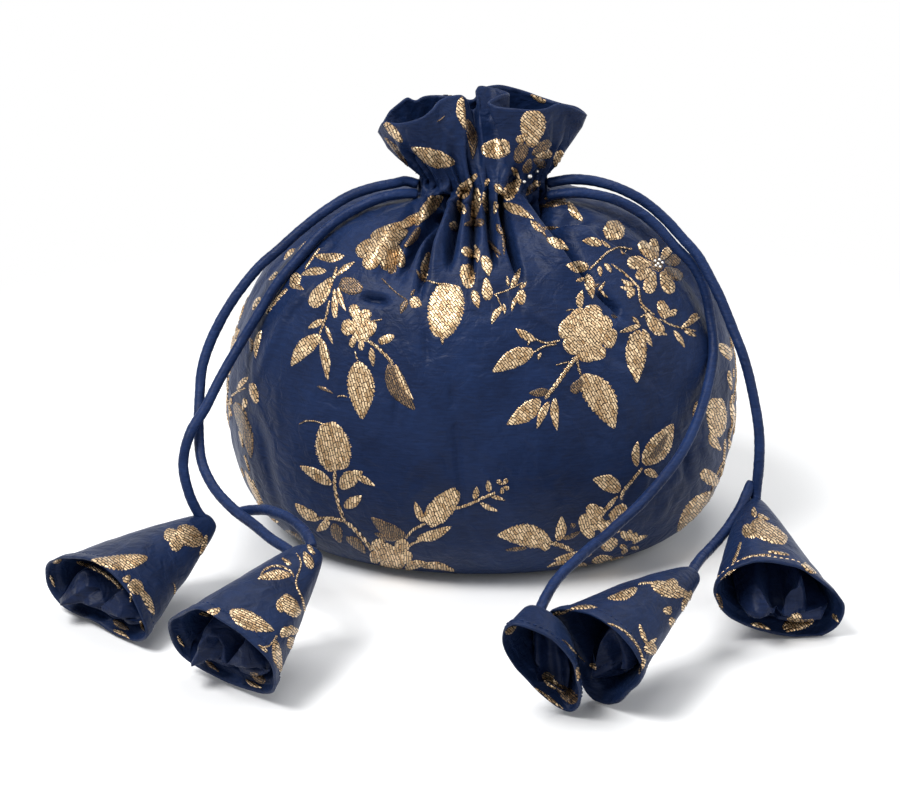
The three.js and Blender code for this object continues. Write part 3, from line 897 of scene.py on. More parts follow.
def tassel_ring(tassel, rim, along, inset=0.0):
    """Ring of the cone's cloth: round at the tip, the shape of the rim at the mouth."""
    loop, turn = rim
    centre, _, across, over = mouth_axes(tassel)
    opened = along ** tassel.get("flare", TASSEL_FLARE)
    tip_spread = (np.cos(turn)[:, None] * across * tassel["tip_width"] / 2
                  + np.sin(turn)[:, None] * over * TASSEL_TIP_HEIGHT / 2)
    spread = tip_spread * (1 - opened) + (loop - centre) * opened
    reach = np.linalg.norm(spread, axis=1)[:, None]
    spread = spread * np.maximum(1 - inset / np.maximum(reach, 1e-6), 0.15)
    return spine_point(tassel, along) + spread


def tassel_length(tassel):
    return length_of([spine_point(tassel, t) for t in np.linspace(0, 1, 20)])


def outside_of_cone(tassel, rim, seed):
    """Rings of the cone's outside from its rounded tip to its mouth, with the hem and small dents,
    and the point behind the tip."""
    hem = HEM_WIDTH / tassel_length(tassel)
    tip = spine_point(tassel, 0)
    back = tip - (spine_point(tassel, 0.03) - tip)
    rows = []
    for share in TIP_ROUNDING:
        rows.append(back + (tassel_ring(tassel, rim, 0.0) - tip) * share
                    + (tip - back) * (1 - math.sqrt(1 - share ** 2)))
    for step in range(TASSEL_RINGS + 1):
        along = step / TASSEL_RINGS
        over_hem = min(max((along - 1 + hem) / hem * 4, 0.0), 1.0)
        rows.append(tassel_ring(tassel, rim, along, -HEM_RISE * over_hem))
    outer = np.array(rows)
    out = outward_of(outer)
    if (out * (outer - outer.mean(axis=1, keepdims=True))).sum() < 0:
        out = -out
    flat = outer.reshape(-1, 3)
    (wide, high), (narrow, low) = CONE_DENTS
    dented = dents(flat, (wide, high, 20 + seed)) + dents(flat, (narrow, low, 30 + seed))
    looseness = np.concatenate([np.zeros(len(TIP_ROUNDING)), np.linspace(0.2, 1, TASSEL_RINGS + 1)])
    outer = outer + out * (dented.reshape(outer.shape[:2]) * looseness[:, None])[..., None]
    outer[:, :, 2] = np.maximum(outer[:, :, 2], LOWEST_CLOTH)
    return outer, back


def inside_of_cone(tassel, outer):
    """Rings of the hollow inside, from the mouth back to where it starts."""
    inner = []
    for row in range(TASSEL_RINGS, int(math.ceil(HOLLOW_START * TASSEL_RINGS)) - 1, -1):
        middle = spine_point(tassel, row / TASSEL_RINGS)
        spread = outer[len(TIP_ROUNDING) + row] - middle
        reach = np.linalg.norm(spread, axis=1)[:, None]
        inner.append(middle + spread * np.maximum(1 - TASSEL_WALL / reach, 0.3))
    return inner


def make_tassel(place, tassel, seed):
    """The cone of cloth, and the rings of its outside."""
    outer, back = outside_of_cone(tassel, rim_loop(tassel), seed)
    inner = inside_of_cone(tassel, outer)
    forward = mouth_axes(tassel)[1]
    roll = (outer[-1] + inner[0]) / 2 + forward * MOUTH_ROLL
    rows = list(outer) + [roll] + inner
    points = np.vstack(rows + [back, inner[-1].mean(axis=0)])
    piece = mesh_piece("tassel_cone_" + place, points, closed_faces(len(rows), TASSEL_STEPS), tassel_silk)
    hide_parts("tassel_" + place)
    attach(piece, "root")
    return piece, outer


# Humps of the cloth that is folded low in each mouth: place across, half width and height, as shares of
# the mouth's half width and half height
BUD_HUMPS = {
    "far_left": [(-0.40, 0.50, 0.78), (0.40, 0.26, 0.72)],
    "front_left": [(-0.30, 0.46, 0.80), (0.42, 0.24, 0.66)],
    "rear_right": [(0.22, 0.46, 1.15), (-0.60, 0.24, 0.30)],
    "front_right": [(-0.10, 0.30, 0.44), (0.55, 0.20, 0.10)],
    "far_right": [(-0.42, 0.34, 0.74), (0.36, 0.20, 0.98)],
}
# Creases of each front: the way the crease runs in degrees, its place and half width as shares of the
# mouth, and its height in millimetres
BUD_CREASES = {
    "far_left": [
        (8, -0.34, 0.3, 5.0), (62, 0.34, 0.2, 6.0), (118, 0.16, 0.14, -4.5), (0, -0.62, 0.1, -3.5),
    ],
    "front_left": [
        (14, -0.3, 0.26, 4.6), (70, 0.4, 0.18, 6.0), (100, 0.2, 0.12, -4.5), (4, -0.58, 0.1, -3.5),
    ],
    "rear_right": [
        (68, 0.1, 0.46, 5.5), (96, -0.4, 0.2, -4.5), (20, -0.5, 0.2, 3.0),
    ],
    "front_right": [
        (40, -0.2, 0.3, 4.0), (120, 0.1, 0.2, -3.0),
    ],
    "far_right": [
        (-24, -0.3, 0.26, 5.5), (46, 0.18, 0.22, 6.0), (84, -0.02, 0.1, -5.5), (-10, -0.58, 0.1, -3.5),
    ],
}
# The cloth between the humps lies this low, as a share of the mouth's half height
BUD_FLOOR = -0.42
BUD_ROLL = 2.4
BUD_DEPTH = 24
BUD_INSET, BUD_FRONT_INSET = 0.9, 0.8
BUD_SIDE_RINGS, BUD_FRONT_RINGS = 16, 30
# The bud fills no more than this share of the cone
BUD_ROOM = 0.94
LOWEST_BUD = 1.0
# The cloth at the bud's root is already pressed down by this share
ROOT_PRESS = 0.35
# The front's edge rolls over in this share of the way to its heart
ROLL_SHARE = 0.16
BUD_DENTS = (8, 0.9)


def bud_axes(tassel):
    """The way the mouth faces, and up and sideways in its plane."""
    forward = mouth_axes(tassel)[1]
    up = np.array((0, 0, 1)) - forward * forward[2]
    up /= np.linalg.norm(up)
    sideways = np.cross(up, -forward)
    return forward, up, sideways * np.sign(sideways[0])


def fold_down(ring, middle, share, humps, up, sideways):
    """A ring of the cone's cloth pressed down between the humps, and kept inside the cone."""
    spread = ring - middle
    side, height = spread @ sideways, spread @ up
    half_side, half_height = np.abs(side).max(), np.abs(height).max()
    top = np.full(len(ring), BUD_FLOOR)
    for spot, wide, tall in humps:
        top = np.maximum(top, BUD_FLOOR + tall * (1 - np.abs((side / half_side - spot) / wide) ** 1.4))
    capped = np.minimum(height, top * half_height)
    lowered = height + (capped - height) * (ROOT_PRESS + (1 - ROOT_PRESS) * share)
    reach, bearing = np.hypot(side, height), np.arctan2(height, side)
    room = np.interp(np.arctan2(lowered, side), bearing, reach, period=2 * np.pi)
    shrink = np.minimum(BUD_ROOM * room / np.maximum(np.hypot(side, lowered), 1e-6), 1.0)
    return ring + up * (lowered * shrink - height)[:, None] + sideways * (side * (shrink - 1))[:, None]


def sides_of_bud(place, tassel, face_at, up, sideways):
    """Rings of the bud from its root deep in the cone to its front."""
    rim = rim_loop(tassel)
    root_at = max(HOLLOW_START, face_at - BUD_DEPTH / tassel_length(tassel))
    rows = []
    for step in range(BUD_SIDE_RINGS):
        share = step / (BUD_SIDE_RINGS - 1)
        along = root_at + (face_at - root_at) * share
        ring = tassel_ring(tassel, rim, along, TASSEL_WALL + BUD_INSET + BUD_FRONT_INSET * share)
        rows.append(fold_down(ring, spine_point(tassel, along), share, BUD_HUMPS[place], up, sideways))
    return rows


def front_of_bud(place, rim, middle, forward, up, sideways):
    """Rings of the bud's front from its rim to near its heart, rolled over and creased."""
    half_side = np.abs((rim - middle) @ sideways).max()
    half_height = np.abs((rim - middle) @ up).max()
    heart = rim.mean(axis=0)
    rows = []
    for step in range(1, BUD_FRONT_RINGS):
        share = step / BUD_FRONT_RINGS
        ring = heart + (rim - heart) * (1 - share)
        spot = (ring - middle) @ sideways / half_side
        level = (ring - middle) @ up / half_height
        rise = np.full(len(ring), BUD_ROLL * math.sin(math.pi / 2 * min(share / ROLL_SHARE, 1.0)))
        for angle, offset, wide, height in BUD_CREASES[place]:
            turned = math.radians(angle)
            gap = np.abs(level * math.cos(turned) - spot * math.sin(turned) - offset)
            rise += height * np.clip(1 - gap / wide, 0, 1) ** 0.8 * min(share * 6, 1)
        rows.append(ring + forward * rise[:, None])
    return rows


def make_bud(place, tassel, seed):
    """The rest of the tassel's cloth, folded over on itself and lying low in the cone."""
    forward, up, sideways = bud_axes(tassel)
    face_at = 1 - tassel["recess"] / tassel_length(tassel)
    rows = sides_of_bud(place, tassel, face_at, up, sideways)
    rows += front_of_bud(place, rows[-1], spine_point(tassel, face_at), forward, up, sideways)
    root = rows[0].mean(axis=0)
    flat = np.vstack(rows)
    loose = np.repeat(smoothstep(np.arange(len(rows)), 4, BUD_SIDE_RINGS), TASSEL_STEPS)
    size, height = BUD_DENTS
    flat = flat + (forward * 0.7 + up * 0.5) * (loose * dents(flat, (size, height, 50 + seed)))[:, None]
    points = np.vstack([flat, root, flat[-TASSEL_STEPS:].mean(axis=0)])
    points[:, 2] = np.maximum(points[:, 2], LOWEST_BUD)
    piece = mesh_piece("folded_bud_" + place, points, closed_faces(len(rows), TASSEL_STEPS), bud_silk)
    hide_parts("bud_" + place)
    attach(piece, "root")
    return piece


def sew_hem(place, outer):
    """Stitches round the hem, gold and thicker on the far right tassel."""
    row = outer[-HEM_SEAM_ROW]
    middle = row.mean(axis=0)
    reach = np.linalg.norm(row - middle, axis=1)[:, None]
    seam = middle + (row - middle) * (1 + HEM_STITCH_LIFT / reach)
    if place == "far_right":
        sew("hem_stitches_" + place, seam, gold_stems, width=GOLD_THREAD_WIDTH)
    else:
        sew("hem_stitches_" + place, seam, cord_silk)


for level, seam in zip(("lower", "upper"), casing_seams):
    sew("casing_stitches_" + level, seam, cord_silk, pitch=CASING_PITCH,
        length=CASING_STITCH_LENGTH, width=CASING_THREAD_WIDTH)

tassels, buds = {}, {}
for seed, (place, tassel) in enumerate(TASSELS.items()):
    tassels[place], outer = make_tassel(place, tassel, seed)
    buds[place] = make_bud(place, tassel, seed)
    sew_hem(place, outer)


# gold sprays woven into the cloth

# Each drawing is measured on an enlarged corner of the photograph: the corner's pixel, the enlargement, the
# way the floats run in degrees, and its parts. A leaf, bud or petal runs from its stem end to its tip and
# has a full width; a stem is a width and a line. A part whose name starts with dull_ is laid in a darker gold
# that stands partly for wear and partly for painted shade, where the cloth turns away from the light.
Drawing = namedtuple("Drawing", "corner_u corner_v enlargement float_angle parts")

LEFT_SPRAYS = Drawing(corner_u=225, corner_v=230, enlargement=5, float_angle=62, parts=[
    ("leaf", 560, 228, 655, 158, 34), ("petal", 540, 236, 428, 384, 92),
    ("dull_bud", 572, 262, 688, 300, 96), ("petal", 546, 292, 550, 442, 40),
    ("leaf", 566, 282, 606, 408, 34), ("leaf", 540, 250, 560, 182, 24),
    ("stem", 14, (522, 350), (504, 440), (470, 522)), ("leaf", 492, 448, 414, 492, 40),
    ("leaf", 478, 522, 328, 684, 92), ("leaf", 480, 540, 514, 756, 54), ("leaf", 502, 478, 540, 572, 24),
    ("petal", 678, 472, 634, 372, 66), ("petal", 690, 470, 712, 396, 66),
    ("petal", 668, 492, 580, 484, 92), ("petal", 690, 480, 756, 500, 92),
    ("bud", 676, 420, 690, 562, 118), ("petal", 650, 520, 630, 588, 40),
    ("petal", 682, 530, 680, 604, 36), ("stem", 8, (738, 452), (762, 452), (786, 446)),
    ("stem", 22, (706, 548), (760, 586), (806, 630), (842, 672)), ("bud", 768, 562, 846, 528, 50),
    ("leaf", 730, 588, 742, 684, 38), ("dull_leaf", 818, 664, 952, 904, 112),
    ("leaf", 850, 668, 944, 850, 44), ("stem", 8, (650, 604), (656, 630), (668, 658)),
    ("leaf", 664, 652, 686, 952, 158), ("stem", 9, (560, 832), (586, 828), (612, 836)),
    ("dull_leaf", 458, 780, 542, 818, 22), ("stem", 12, (1008, 250), (1060, 268), (1124, 272)),
    ("bud", 1128, 266, 1076, 542, 200), ("leaf", 1000, 252, 1022, 108, 52),
    ("dull_leaf", 1010, 262, 954, 196, 24), ("leaf", 1082, 532, 1086, 574, 20),
    ("dull_stem", 10, (782, 240), (850, 308), (912, 352)), ("dull_leaf", 914, 350, 878, 420, 40),
    ("leaf", 924, 344, 986, 376, 66), ("dull_leaf", 930, 330, 950, 296, 20),
    ("petal", 800, 40, 656, 122, 96), ("petal", 830, 60, 694, 190, 96),
    ("petal", 850, 40, 806, 206, 100), ("petal", 862, 70, 884, 190, 60), ("bud", 780, 24, 890, 40, 70),
    ("dull_petal", 800, 150, 850, 215, 60), ("leaf", 508, 204, 378, 226, 48),
    ("leaf", 598, 130, 440, 126, 52), ("stem", 14, (474, 90), (430, 150), (398, 196)),
    ("bud", 366, 214, 334, 292, 60), ("leaf", 336, 280, 396, 298, 32),
    ("stem", 22, (312, 292), (258, 350), (204, 420)), ("leaf", 416, 58, 364, 112, 38),
    ("leaf", 350, 92, 294, 152, 32), ("leaf", 262, 208, 218, 252, 28), ("leaf", 176, 334, 138, 402, 34),
    ("leaf", 182, 498, 154, 644, 36), ("dull_leaf", 126, 538, 130, 612, 26),
    ("leaf", 116, 734, 60, 802, 34), ("bud", 132, 764, 158, 868, 50),
    ("stem", 14, (104, 790), (66, 806), (30, 832)), ("leaf", 98, 838, 90, 902, 32),
    ("dull_leaf", 50, 858, 118, 998, 64), ("leaf", 1182, 94, 1242, 122, 54),
    ("bud", 1206, 168, 1222, 292, 88), ("leaf", 1242, 298, 1268, 392, 50),
    ("leaf", 1250, 70, 1262, 168, 34),
])
NECK_SPRAYS = Drawing(corner_u=370, corner_v=80, enlargement=6, float_angle=55, parts=[
    ("leaf", 512, 502, 244, 402, 122), ("dull_stem", 8, (400, 250), (424, 236), (450, 214)),
    ("leaf", 548, 96, 574, 300, 66), ("dull_leaf", 580, 230, 616, 480, 68),
    ("bud", 842, 402, 664, 424, 134), ("petal", 968, 410, 984, 178, 176),
    ("petal", 940, 330, 880, 372, 60), ("dull_petal", 970, 450, 1084, 366, 76),
    ("petal", 985, 455, 1096, 440, 66), ("dull_petal", 980, 470, 1052, 520, 66),
    ("dull_petal", 965, 470, 930, 560, 66), ("dull_bud", 930, 380, 880, 500, 90),
    ("leaf", 850, 520, 900, 600, 40), ("petal", 985, 600, 1015, 640, 50),
    ("leaf", 1146, 418, 1108, 530, 76), ("petal", 905, 590, 800, 716, 96),
    ("dull_leaf", 1000, 610, 930, 700, 50), ("petal", 612, 590, 532, 706, 92),
    ("leaf", 752, 622, 790, 690, 56), ("petal", 526, 718, 566, 806, 60),
    ("leaf", 642, 640, 604, 870, 66), ("leaf", 686, 664, 704, 812, 44), ("leaf", 752, 724, 746, 806, 38),
    ("leaf", 794, 738, 946, 806, 52), ("dull_petal", 560, 868, 690, 850, 60),
    ("bud", 88, 252, 196, 376, 62), ("dull_leaf", 82, 340, 240, 540, 40),
    ("petal", 960, 88, 1056, 134, 44), ("leaf", 440, 690, 270, 880, 92),
    ("leaf", 380, 690, 330, 770, 50), ("leaf", 330, 790, 120, 930, 66), ("petal", 210, 850, 0, 950, 76),
    ("petal", 230, 900, 20, 1040, 110), ("dull_leaf", 300, 880, 200, 1010, 60),
    ("bud", 490, 850, 520, 905, 60), ("leaf", 560, 1000, 640, 1070, 60),
    ("leaf", 346, 1030, 350, 1078, 40), ("leaf", 640, 560, 610, 620, 40),
    ("leaf", 714, 590, 690, 640, 34), ("leaf", 1040, 712, 1180, 722, 26),
    ("leaf", 1190, 740, 1280, 850, 56), ("dull_leaf", 1010, 760, 1090, 750, 30),
    ("leaf", 960, 840, 1050, 920, 34), ("leaf", 1060, 950, 1196, 1020, 54),
    ("dull_leaf", 760, 860, 806, 940, 40), ("dull_stem", 8, (700, 960), (740, 1010), (770, 1070)),
])
RIGHT_SPRAYS = Drawing(corner_u=480, corner_v=190, enlargement=5, float_angle=52, parts=[
    ("bud", 556, 600, 520, 820, 220), ("petal", 540, 700, 474, 596, 104),
    ("petal", 560, 690, 566, 572, 108), ("petal", 590, 700, 650, 640, 92),
    ("petal", 600, 726, 682, 752, 116), ("petal", 566, 756, 604, 850, 96),
    ("petal", 540, 760, 530, 862, 104), ("petal", 500, 742, 430, 806, 110),
    ("petal", 490, 710, 394, 686, 116), ("petal", 500, 690, 430, 638, 80),
    ("leaf", 500, 592, 512, 498, 46), ("stem", 8, (476, 600), (450, 598), (428, 604)),
    ("stem", 13, (402, 752), (330, 764), (262, 740)), ("stem", 12, (384, 770), (320, 782), (268, 812)),
    ("leaf", 276, 752, 176, 692, 50), ("leaf", 272, 800, 58, 912, 104), ("leaf", 306, 812, 292, 852, 20),
    ("leaf", 250, 750, 240, 778, 14), ("stem", 28, (492, 822), (440, 890), (384, 968), (322, 1046)),
    ("stem", 8, (448, 858), (412, 866), (378, 876)), ("dull_leaf", 346, 1004, 242, 1016, 50),
    ("leaf", 304, 1046, 132, 1174, 100), ("leaf", 346, 1056, 284, 1194, 48),
    ("leaf", 374, 1038, 386, 1204, 50), ("stem", 16, (486, 836), (490, 880), (504, 926)),
    ("leaf", 508, 918, 674, 1198, 168), ("dull_petal", 512, 940, 462, 1016, 60),
    ("stem", 13, (540, 404), (590, 356), (640, 310), (690, 288), (764, 296)),
    ("bud", 676, 250, 664, 150, 122), ("leaf", 612, 272, 508, 254, 52), ("leaf", 656, 288, 606, 248, 22),
    ("leaf", 546, 384, 428, 376, 70), ("leaf", 596, 378, 604, 434, 32), ("leaf", 620, 366, 658, 414, 30),
    ("leaf", 536, 418, 562, 546, 58), ("leaf", 524, 440, 478, 456, 28), ("leaf", 590, 506, 626, 456, 20),
    ("stem", 10, (700, 290), (716, 320), (734, 300)),
    ("stem", 12, (650, 366), (700, 400), (752, 446), (790, 486), (802, 560), (846, 606), (880, 630)),
    ("leaf", 772, 478, 706, 446, 34), ("leaf", 766, 490, 742, 544, 48), ("leaf", 778, 500, 700, 484, 30),
    ("petal", 866, 352, 800, 256, 70), ("petal", 862, 372, 734, 358, 78),
    ("petal", 862, 398, 778, 436, 62), ("petal", 870, 404, 838, 518, 76),
    ("petal", 906, 404, 960, 518, 76), ("dull_petal", 920, 390, 1012, 442, 66),
    ("dull_petal", 922, 368, 1002, 340, 66), ("petal", 906, 350, 950, 288, 52),
    ("petal", 886, 346, 862, 240, 54), ("dull_bud", 860, 350, 908, 402, 66),
    ("stem", 8, (800, 580), (830, 610), (800, 640)), ("bud", 936, 642, 898, 552, 66),
    ("leaf", 944, 628, 984, 594, 40), ("petal", 826, 614, 914, 724, 76),
    ("leaf", 880, 690, 936, 726, 30), ("stem", 12, (896, 642), (960, 676), (1020, 692), (1084, 706)),
    ("leaf", 1008, 688, 1104, 634, 34), ("leaf", 1020, 702, 1082, 734, 28),
    ("leaf", 968, 700, 1024, 790, 34), ("bud", 1048, 660, 1086, 616, 40),
    ("leaf", 806, 674, 696, 712, 36), ("leaf", 796, 670, 758, 632, 26),
    ("leaf", 792, 696, 784, 968, 118), ("leaf", 812, 694, 862, 784, 38),
    ("leaf", 782, 720, 740, 740, 24), ("leaf", 112, 66, 272, 146, 54),
    ("dull_leaf", 268, 150, 334, 240, 30), ("leaf", 330, 240, 448, 302, 50),
    ("dull_leaf", 300, 192, 404, 186, 24), ("dull_leaf", 310, 84, 450, 66, 40),
    ("leaf", 440, 56, 516, 146, 42), ("leaf", 1196, 766, 1254, 856, 58),
    ("leaf", 1244, 900, 1256, 1004, 28), ("bud", 1182, 1036, 1186, 1240, 114),
    ("leaf", 1086, 1054, 1064, 1134, 18), ("leaf", 1252, 1046, 1260, 1200, 30),
    ("leaf", 14, 326, 44, 434, 62), ("petal", 30, 436, 40, 552, 64),
    ("stem", 10, (68, 524), (130, 504), (214, 462)), ("leaf", 156, 490, 202, 390, 38),
    ("leaf", 142, 482, 134, 428, 20), ("leaf", 196, 492, 234, 458, 24), ("bud", 206, 498, 206, 574, 54),
    ("leaf", 184, 530, 158, 608, 26), ("stem", 10, (78, 520), (98, 560), (112, 604)),
    ("leaf", 112, 580, 56, 674, 40), ("leaf", 116, 566, 122, 624, 22),
    ("dull_leaf", 40, 250, 110, 330, 30), ("dull_leaf", 110, 170, 120, 330, 26),
    ("leaf", 600, 500, 640, 540, 20), ("dull_leaf", 560, 480, 600, 470, 24),
    ("dull_leaf", 655, 625, 690, 640, 20),
])
LOWER_LEFT_SPRAYS = Drawing(corner_u=225, corner_v=400, enlargement=5, float_angle=76, parts=[
    ("bud", 566, 356, 512, 108, 198), ("stem", 8, (500, 122), (440, 104), (400, 106), (366, 124)),
    ("stem", 22, (550, 346), (548, 430), (570, 530), (600, 612)), ("leaf", 534, 424, 372, 328, 66),
    ("leaf", 574, 442, 690, 356, 92), ("leaf", 650, 372, 752, 430, 40), ("leaf", 594, 538, 688, 478, 62),
    ("leaf", 474, 600, 348, 514, 64), ("leaf", 522, 596, 456, 656, 50),
    ("stem", 18, (470, 590), (540, 592), (604, 608)),
    ("stem", 26, (600, 606), (650, 650), (700, 706), (736, 756)), ("dull_leaf", 540, 616, 580, 716, 66),
    ("dull_leaf", 604, 684, 706, 768, 56), ("petal", 790, 770, 752, 696, 84),
    ("petal", 850, 760, 910, 704, 84), ("petal", 800, 780, 722, 786, 76),
    ("petal", 830, 790, 792, 862, 84), ("petal", 860, 780, 938, 792, 76),
    ("bud", 770, 730, 890, 840, 116), ("petal", 850, 800, 880, 840, 70),
    ("leaf", 690, 838, 862, 860, 26), ("leaf", 898, 842, 1010, 812, 52),
    ("leaf", 976, 828, 1156, 856, 46), ("dull_leaf", 906, 684, 728, 584, 80),
    ("dull_leaf", 892, 688, 742, 664, 46), ("stem", 18, (902, 694), (940, 650), (1004, 616)),
    ("leaf", 992, 612, 948, 506, 46), ("bud", 1006, 622, 1166, 450, 132),
    ("stem", 18, (1138, 546), (1210, 526), (1286, 492), (1356, 462)), ("leaf", 1246, 498, 1258, 432, 38),
    ("leaf", 1322, 462, 1314, 400, 36), ("petal", 1386, 424, 1360, 400, 28),
    ("petal", 1390, 424, 1412, 394, 28), ("petal", 1392, 432, 1420, 446, 26),
    ("petal", 1386, 436, 1384, 470, 26), ("leaf", 1328, 482, 1402, 502, 24),
    ("leaf", 1274, 512, 1368, 556, 30), ("leaf", 956, 694, 1136, 628, 60),
    ("stem", 14, (908, 742), (940, 716), (984, 700)), ("dull_leaf", 52, 40, 132, 294, 70),
    ("leaf", 108, 488, 184, 534, 30), ("leaf", 186, 578, 274, 612, 30),
    ("dull_leaf", 300, 650, 400, 740, 40),
])
LOWER_RIGHT_SPRAYS = Drawing(corner_u=480, corner_v=410, enlargement=5, float_angle=58, parts=[
    ("leaf", 816, 276, 968, 64, 128), ("dull_leaf", 838, 250, 940, 104, 56),
    ("leaf", 784, 284, 790, 154, 48), ("stem", 20, (814, 288), (760, 352), (714, 412), (704, 452)),
    ("leaf", 820, 302, 892, 338, 48), ("leaf", 706, 402, 562, 346, 96), ("leaf", 618, 512, 692, 426, 30),
    ("petal", 560, 550, 566, 468, 76), ("petal", 580, 550, 612, 486, 60),
    ("petal", 570, 560, 492, 560, 92), ("petal", 566, 576, 520, 628, 92),
    ("petal", 590, 560, 650, 600, 84), ("petal", 640, 530, 734, 480, 56),
    ("bud", 520, 540, 630, 580, 90), ("petal", 650, 520, 690, 560, 50), ("leaf", 362, 664, 82, 626, 128),
    ("petal", 300, 640, 340, 700, 60), ("leaf", 388, 656, 408, 530, 62),
    ("dull_leaf", 450, 582, 480, 570, 34), ("dull_leaf", 412, 644, 504, 602, 30),
    ("stem", 30, (346, 662), (400, 676), (466, 706)), ("dull_leaf", 236, 690, 124, 700, 26),
    ("leaf", 562, 718, 366, 748, 48), ("leaf", 450, 762, 332, 786, 26),
    ("petal", 636, 708, 640, 632, 120), ("petal", 736, 656, 708, 604, 38),
    ("petal", 746, 654, 752, 598, 36), ("petal", 758, 656, 786, 612, 34),
    ("leaf", 762, 668, 840, 626, 30), ("petal", 738, 688, 698, 680, 30),
    ("petal", 750, 692, 796, 688, 26), ("petal", 740, 698, 706, 716, 30),
    ("leaf", 556, 760, 664, 732, 46), ("leaf", 640, 748, 768, 722, 22), ("leaf", 480, 776, 544, 776, 22),
    ("petal", 700, 596, 680, 610, 26), ("bud", 1180, 0, 1196, 124, 104),
    ("leaf", 1150, 110, 1206, 206, 52), ("stem", 13, (1226, 140), (1216, 300), (1190, 450)),
    ("bud", 1106, 306, 1194, 372, 76), ("leaf", 1190, 404, 978, 636, 116),
    ("leaf", 1252, 150, 1256, 232, 18),
])
TASSEL_SPRAYS_LEFT = Drawing(corner_u=30, corner_v=500, enlargement=4, float_angle=35, parts=[
    ("leaf", 476, 230, 238, 240, 72), ("stem", 22, (182, 246), (260, 274), (330, 318), (372, 362)),
    ("petal", 400, 300, 376, 330, 36), ("bud", 400, 326, 450, 372, 66), ("leaf", 440, 356, 496, 464, 40),
    ("petal", 620, 150, 534, 134, 62), ("petal", 620, 160, 560, 190, 62),
    ("petal", 620, 140, 610, 98, 62), ("bud", 596, 120, 690, 172, 92), ("leaf", 706, 136, 676, 226, 24),
    ("stem", 5, (572, 330), (580, 352), (576, 382)), ("leaf", 128, 238, 88, 250, 20),
    ("leaf", 402, 370, 400, 410, 14),
    ("stem", 9, (918, 318), (936, 282), (990, 264), (1040, 284), (1058, 310)),
    ("leaf", 1046, 300, 908, 316, 46),
    ("stem", 9, (1062, 206), (1084, 250), (1064, 330), (1090, 400), (1104, 470)),
    ("leaf", 796, 442, 980, 524, 84), ("petal", 1030, 420, 984, 424, 60),
    ("bud", 1006, 384, 1076, 464, 74), ("petal", 1040, 540, 1004, 520, 52),
    ("petal", 1040, 540, 1060, 506, 52), ("petal", 1040, 546, 1056, 596, 52),
    ("leaf", 980, 558, 1004, 692, 44), ("stem", 10, (926, 592), (960, 580), (990, 540)),
    ("leaf", 764, 436, 674, 456, 36), ("leaf", 1130, 276, 1094, 204, 44),
    ("leaf", 1046, 262, 1006, 232, 22), ("stem", 10, (1104, 180), (1150, 176), (1176, 200), (1184, 300)),
    ("leaf", 1040, 580, 1060, 620, 24), ("petal", 1140, 220, 1110, 180, 24),
    ("leaf", 950, 610, 910, 580, 18), ("leaf", 80, 300, 100, 350, 16), ("leaf", 330, 520, 400, 556, 18),
    ("leaf", 590, 540, 620, 590, 16), ("leaf", 860, 716, 930, 752, 20),
    ("dull_leaf", 700, 640, 760, 690, 22), ("leaf", 440, 480, 464, 530, 16),
    ("dull_petal", 880, 690, 940, 730, 40), ("dull_leaf", 330, 480, 400, 520, 34),
])
TASSEL_SPRAYS_RIGHT = Drawing(corner_u=490, corner_v=490, enlargement=4, float_angle=40, parts=[
    ("leaf", 592, 392, 466, 434, 46), ("stem", 10, (590, 376), (650, 372), (710, 380)),
    ("leaf", 640, 374, 806, 420, 70), ("petal", 740, 420, 716, 356, 66),
    ("leaf", 806, 400, 770, 510, 36), ("petal", 720, 500, 704, 466, 44),
    ("petal", 720, 510, 746, 552, 44), ("leaf", 628, 618, 596, 534, 24), ("bud", 634, 612, 652, 660, 56),
    ("leaf", 622, 620, 668, 590, 20),
    ("stem", 11, (464, 530), (530, 560), (580, 610), (606, 660), (614, 716)),
    ("leaf", 620, 672, 596, 738, 22), ("stem", 5, (288, 596), (330, 640), (382, 690)),
    ("leaf", 398, 694, 426, 720, 26), ("leaf", 350, 706, 348, 766, 26), ("leaf", 60, 576, 104, 540, 30),
    ("leaf", 432, 470, 300, 486, 20), ("petal", 1100, 170, 1006, 160, 66),
    ("petal", 1090, 160, 1060, 116, 60), ("bud", 1040, 136, 1190, 206, 82),
    ("leaf", 1060, 110, 1056, 66, 30), ("leaf", 1068, 96, 1120, 118, 26),
    ("stem", 14, (1004, 206), (990, 250), (970, 296)), ("leaf", 1244, 296, 1306, 334, 30),
    ("leaf", 934, 356, 972, 318, 16), ("petal", 1168, 556, 1246, 500, 56),
    ("petal", 1180, 566, 1296, 520, 40), ("leaf", 1040, 536, 1124, 560, 24),
    ("leaf", 1368, 494, 1394, 530, 22), ("dull_leaf", 906, 410, 926, 500, 24),
    ("leaf", 1256, 288, 1294, 336, 26), ("stem", 6, (920, 360), (950, 336), (984, 316)),
    ("bud", 214, 730, 268, 794, 50), ("leaf", 176, 790, 296, 878, 20),
    ("dull_petal", 262, 776, 346, 850, 60), ("leaf", 248, 500, 330, 476, 22),
    ("stem", 5, (1000, 280), (1044, 266), (1090, 260), (1128, 262)), ("leaf", 1110, 246, 1200, 262, 14),
])

# The gold stands this high over the cloth, and its edges go this deep into it
THREAD_RISE, CLOTH_GRIP = 0.42, 0.12
# Each part lies up to this many times LAYER_RISE higher, so that parts which cross don't lie in one plane
LAYERS, LAYER_RISE = 5, 0.03
# Degrees by which the way the floats run sways from part to part
FLOAT_SWAY = 14
# Neighbours further apart than this lie on two sides of an edge, and no face is longer than this
SLIP, LONGEST_SIDE = 7, 9
# Pixels of the photograph, each about half a millimetre, between the rows and columns of a part
STEM_ROW, LEAF_ROW, LEAF_COLUMN = 1.6, 1.1, 1.3
STEM_COLUMNS = 5
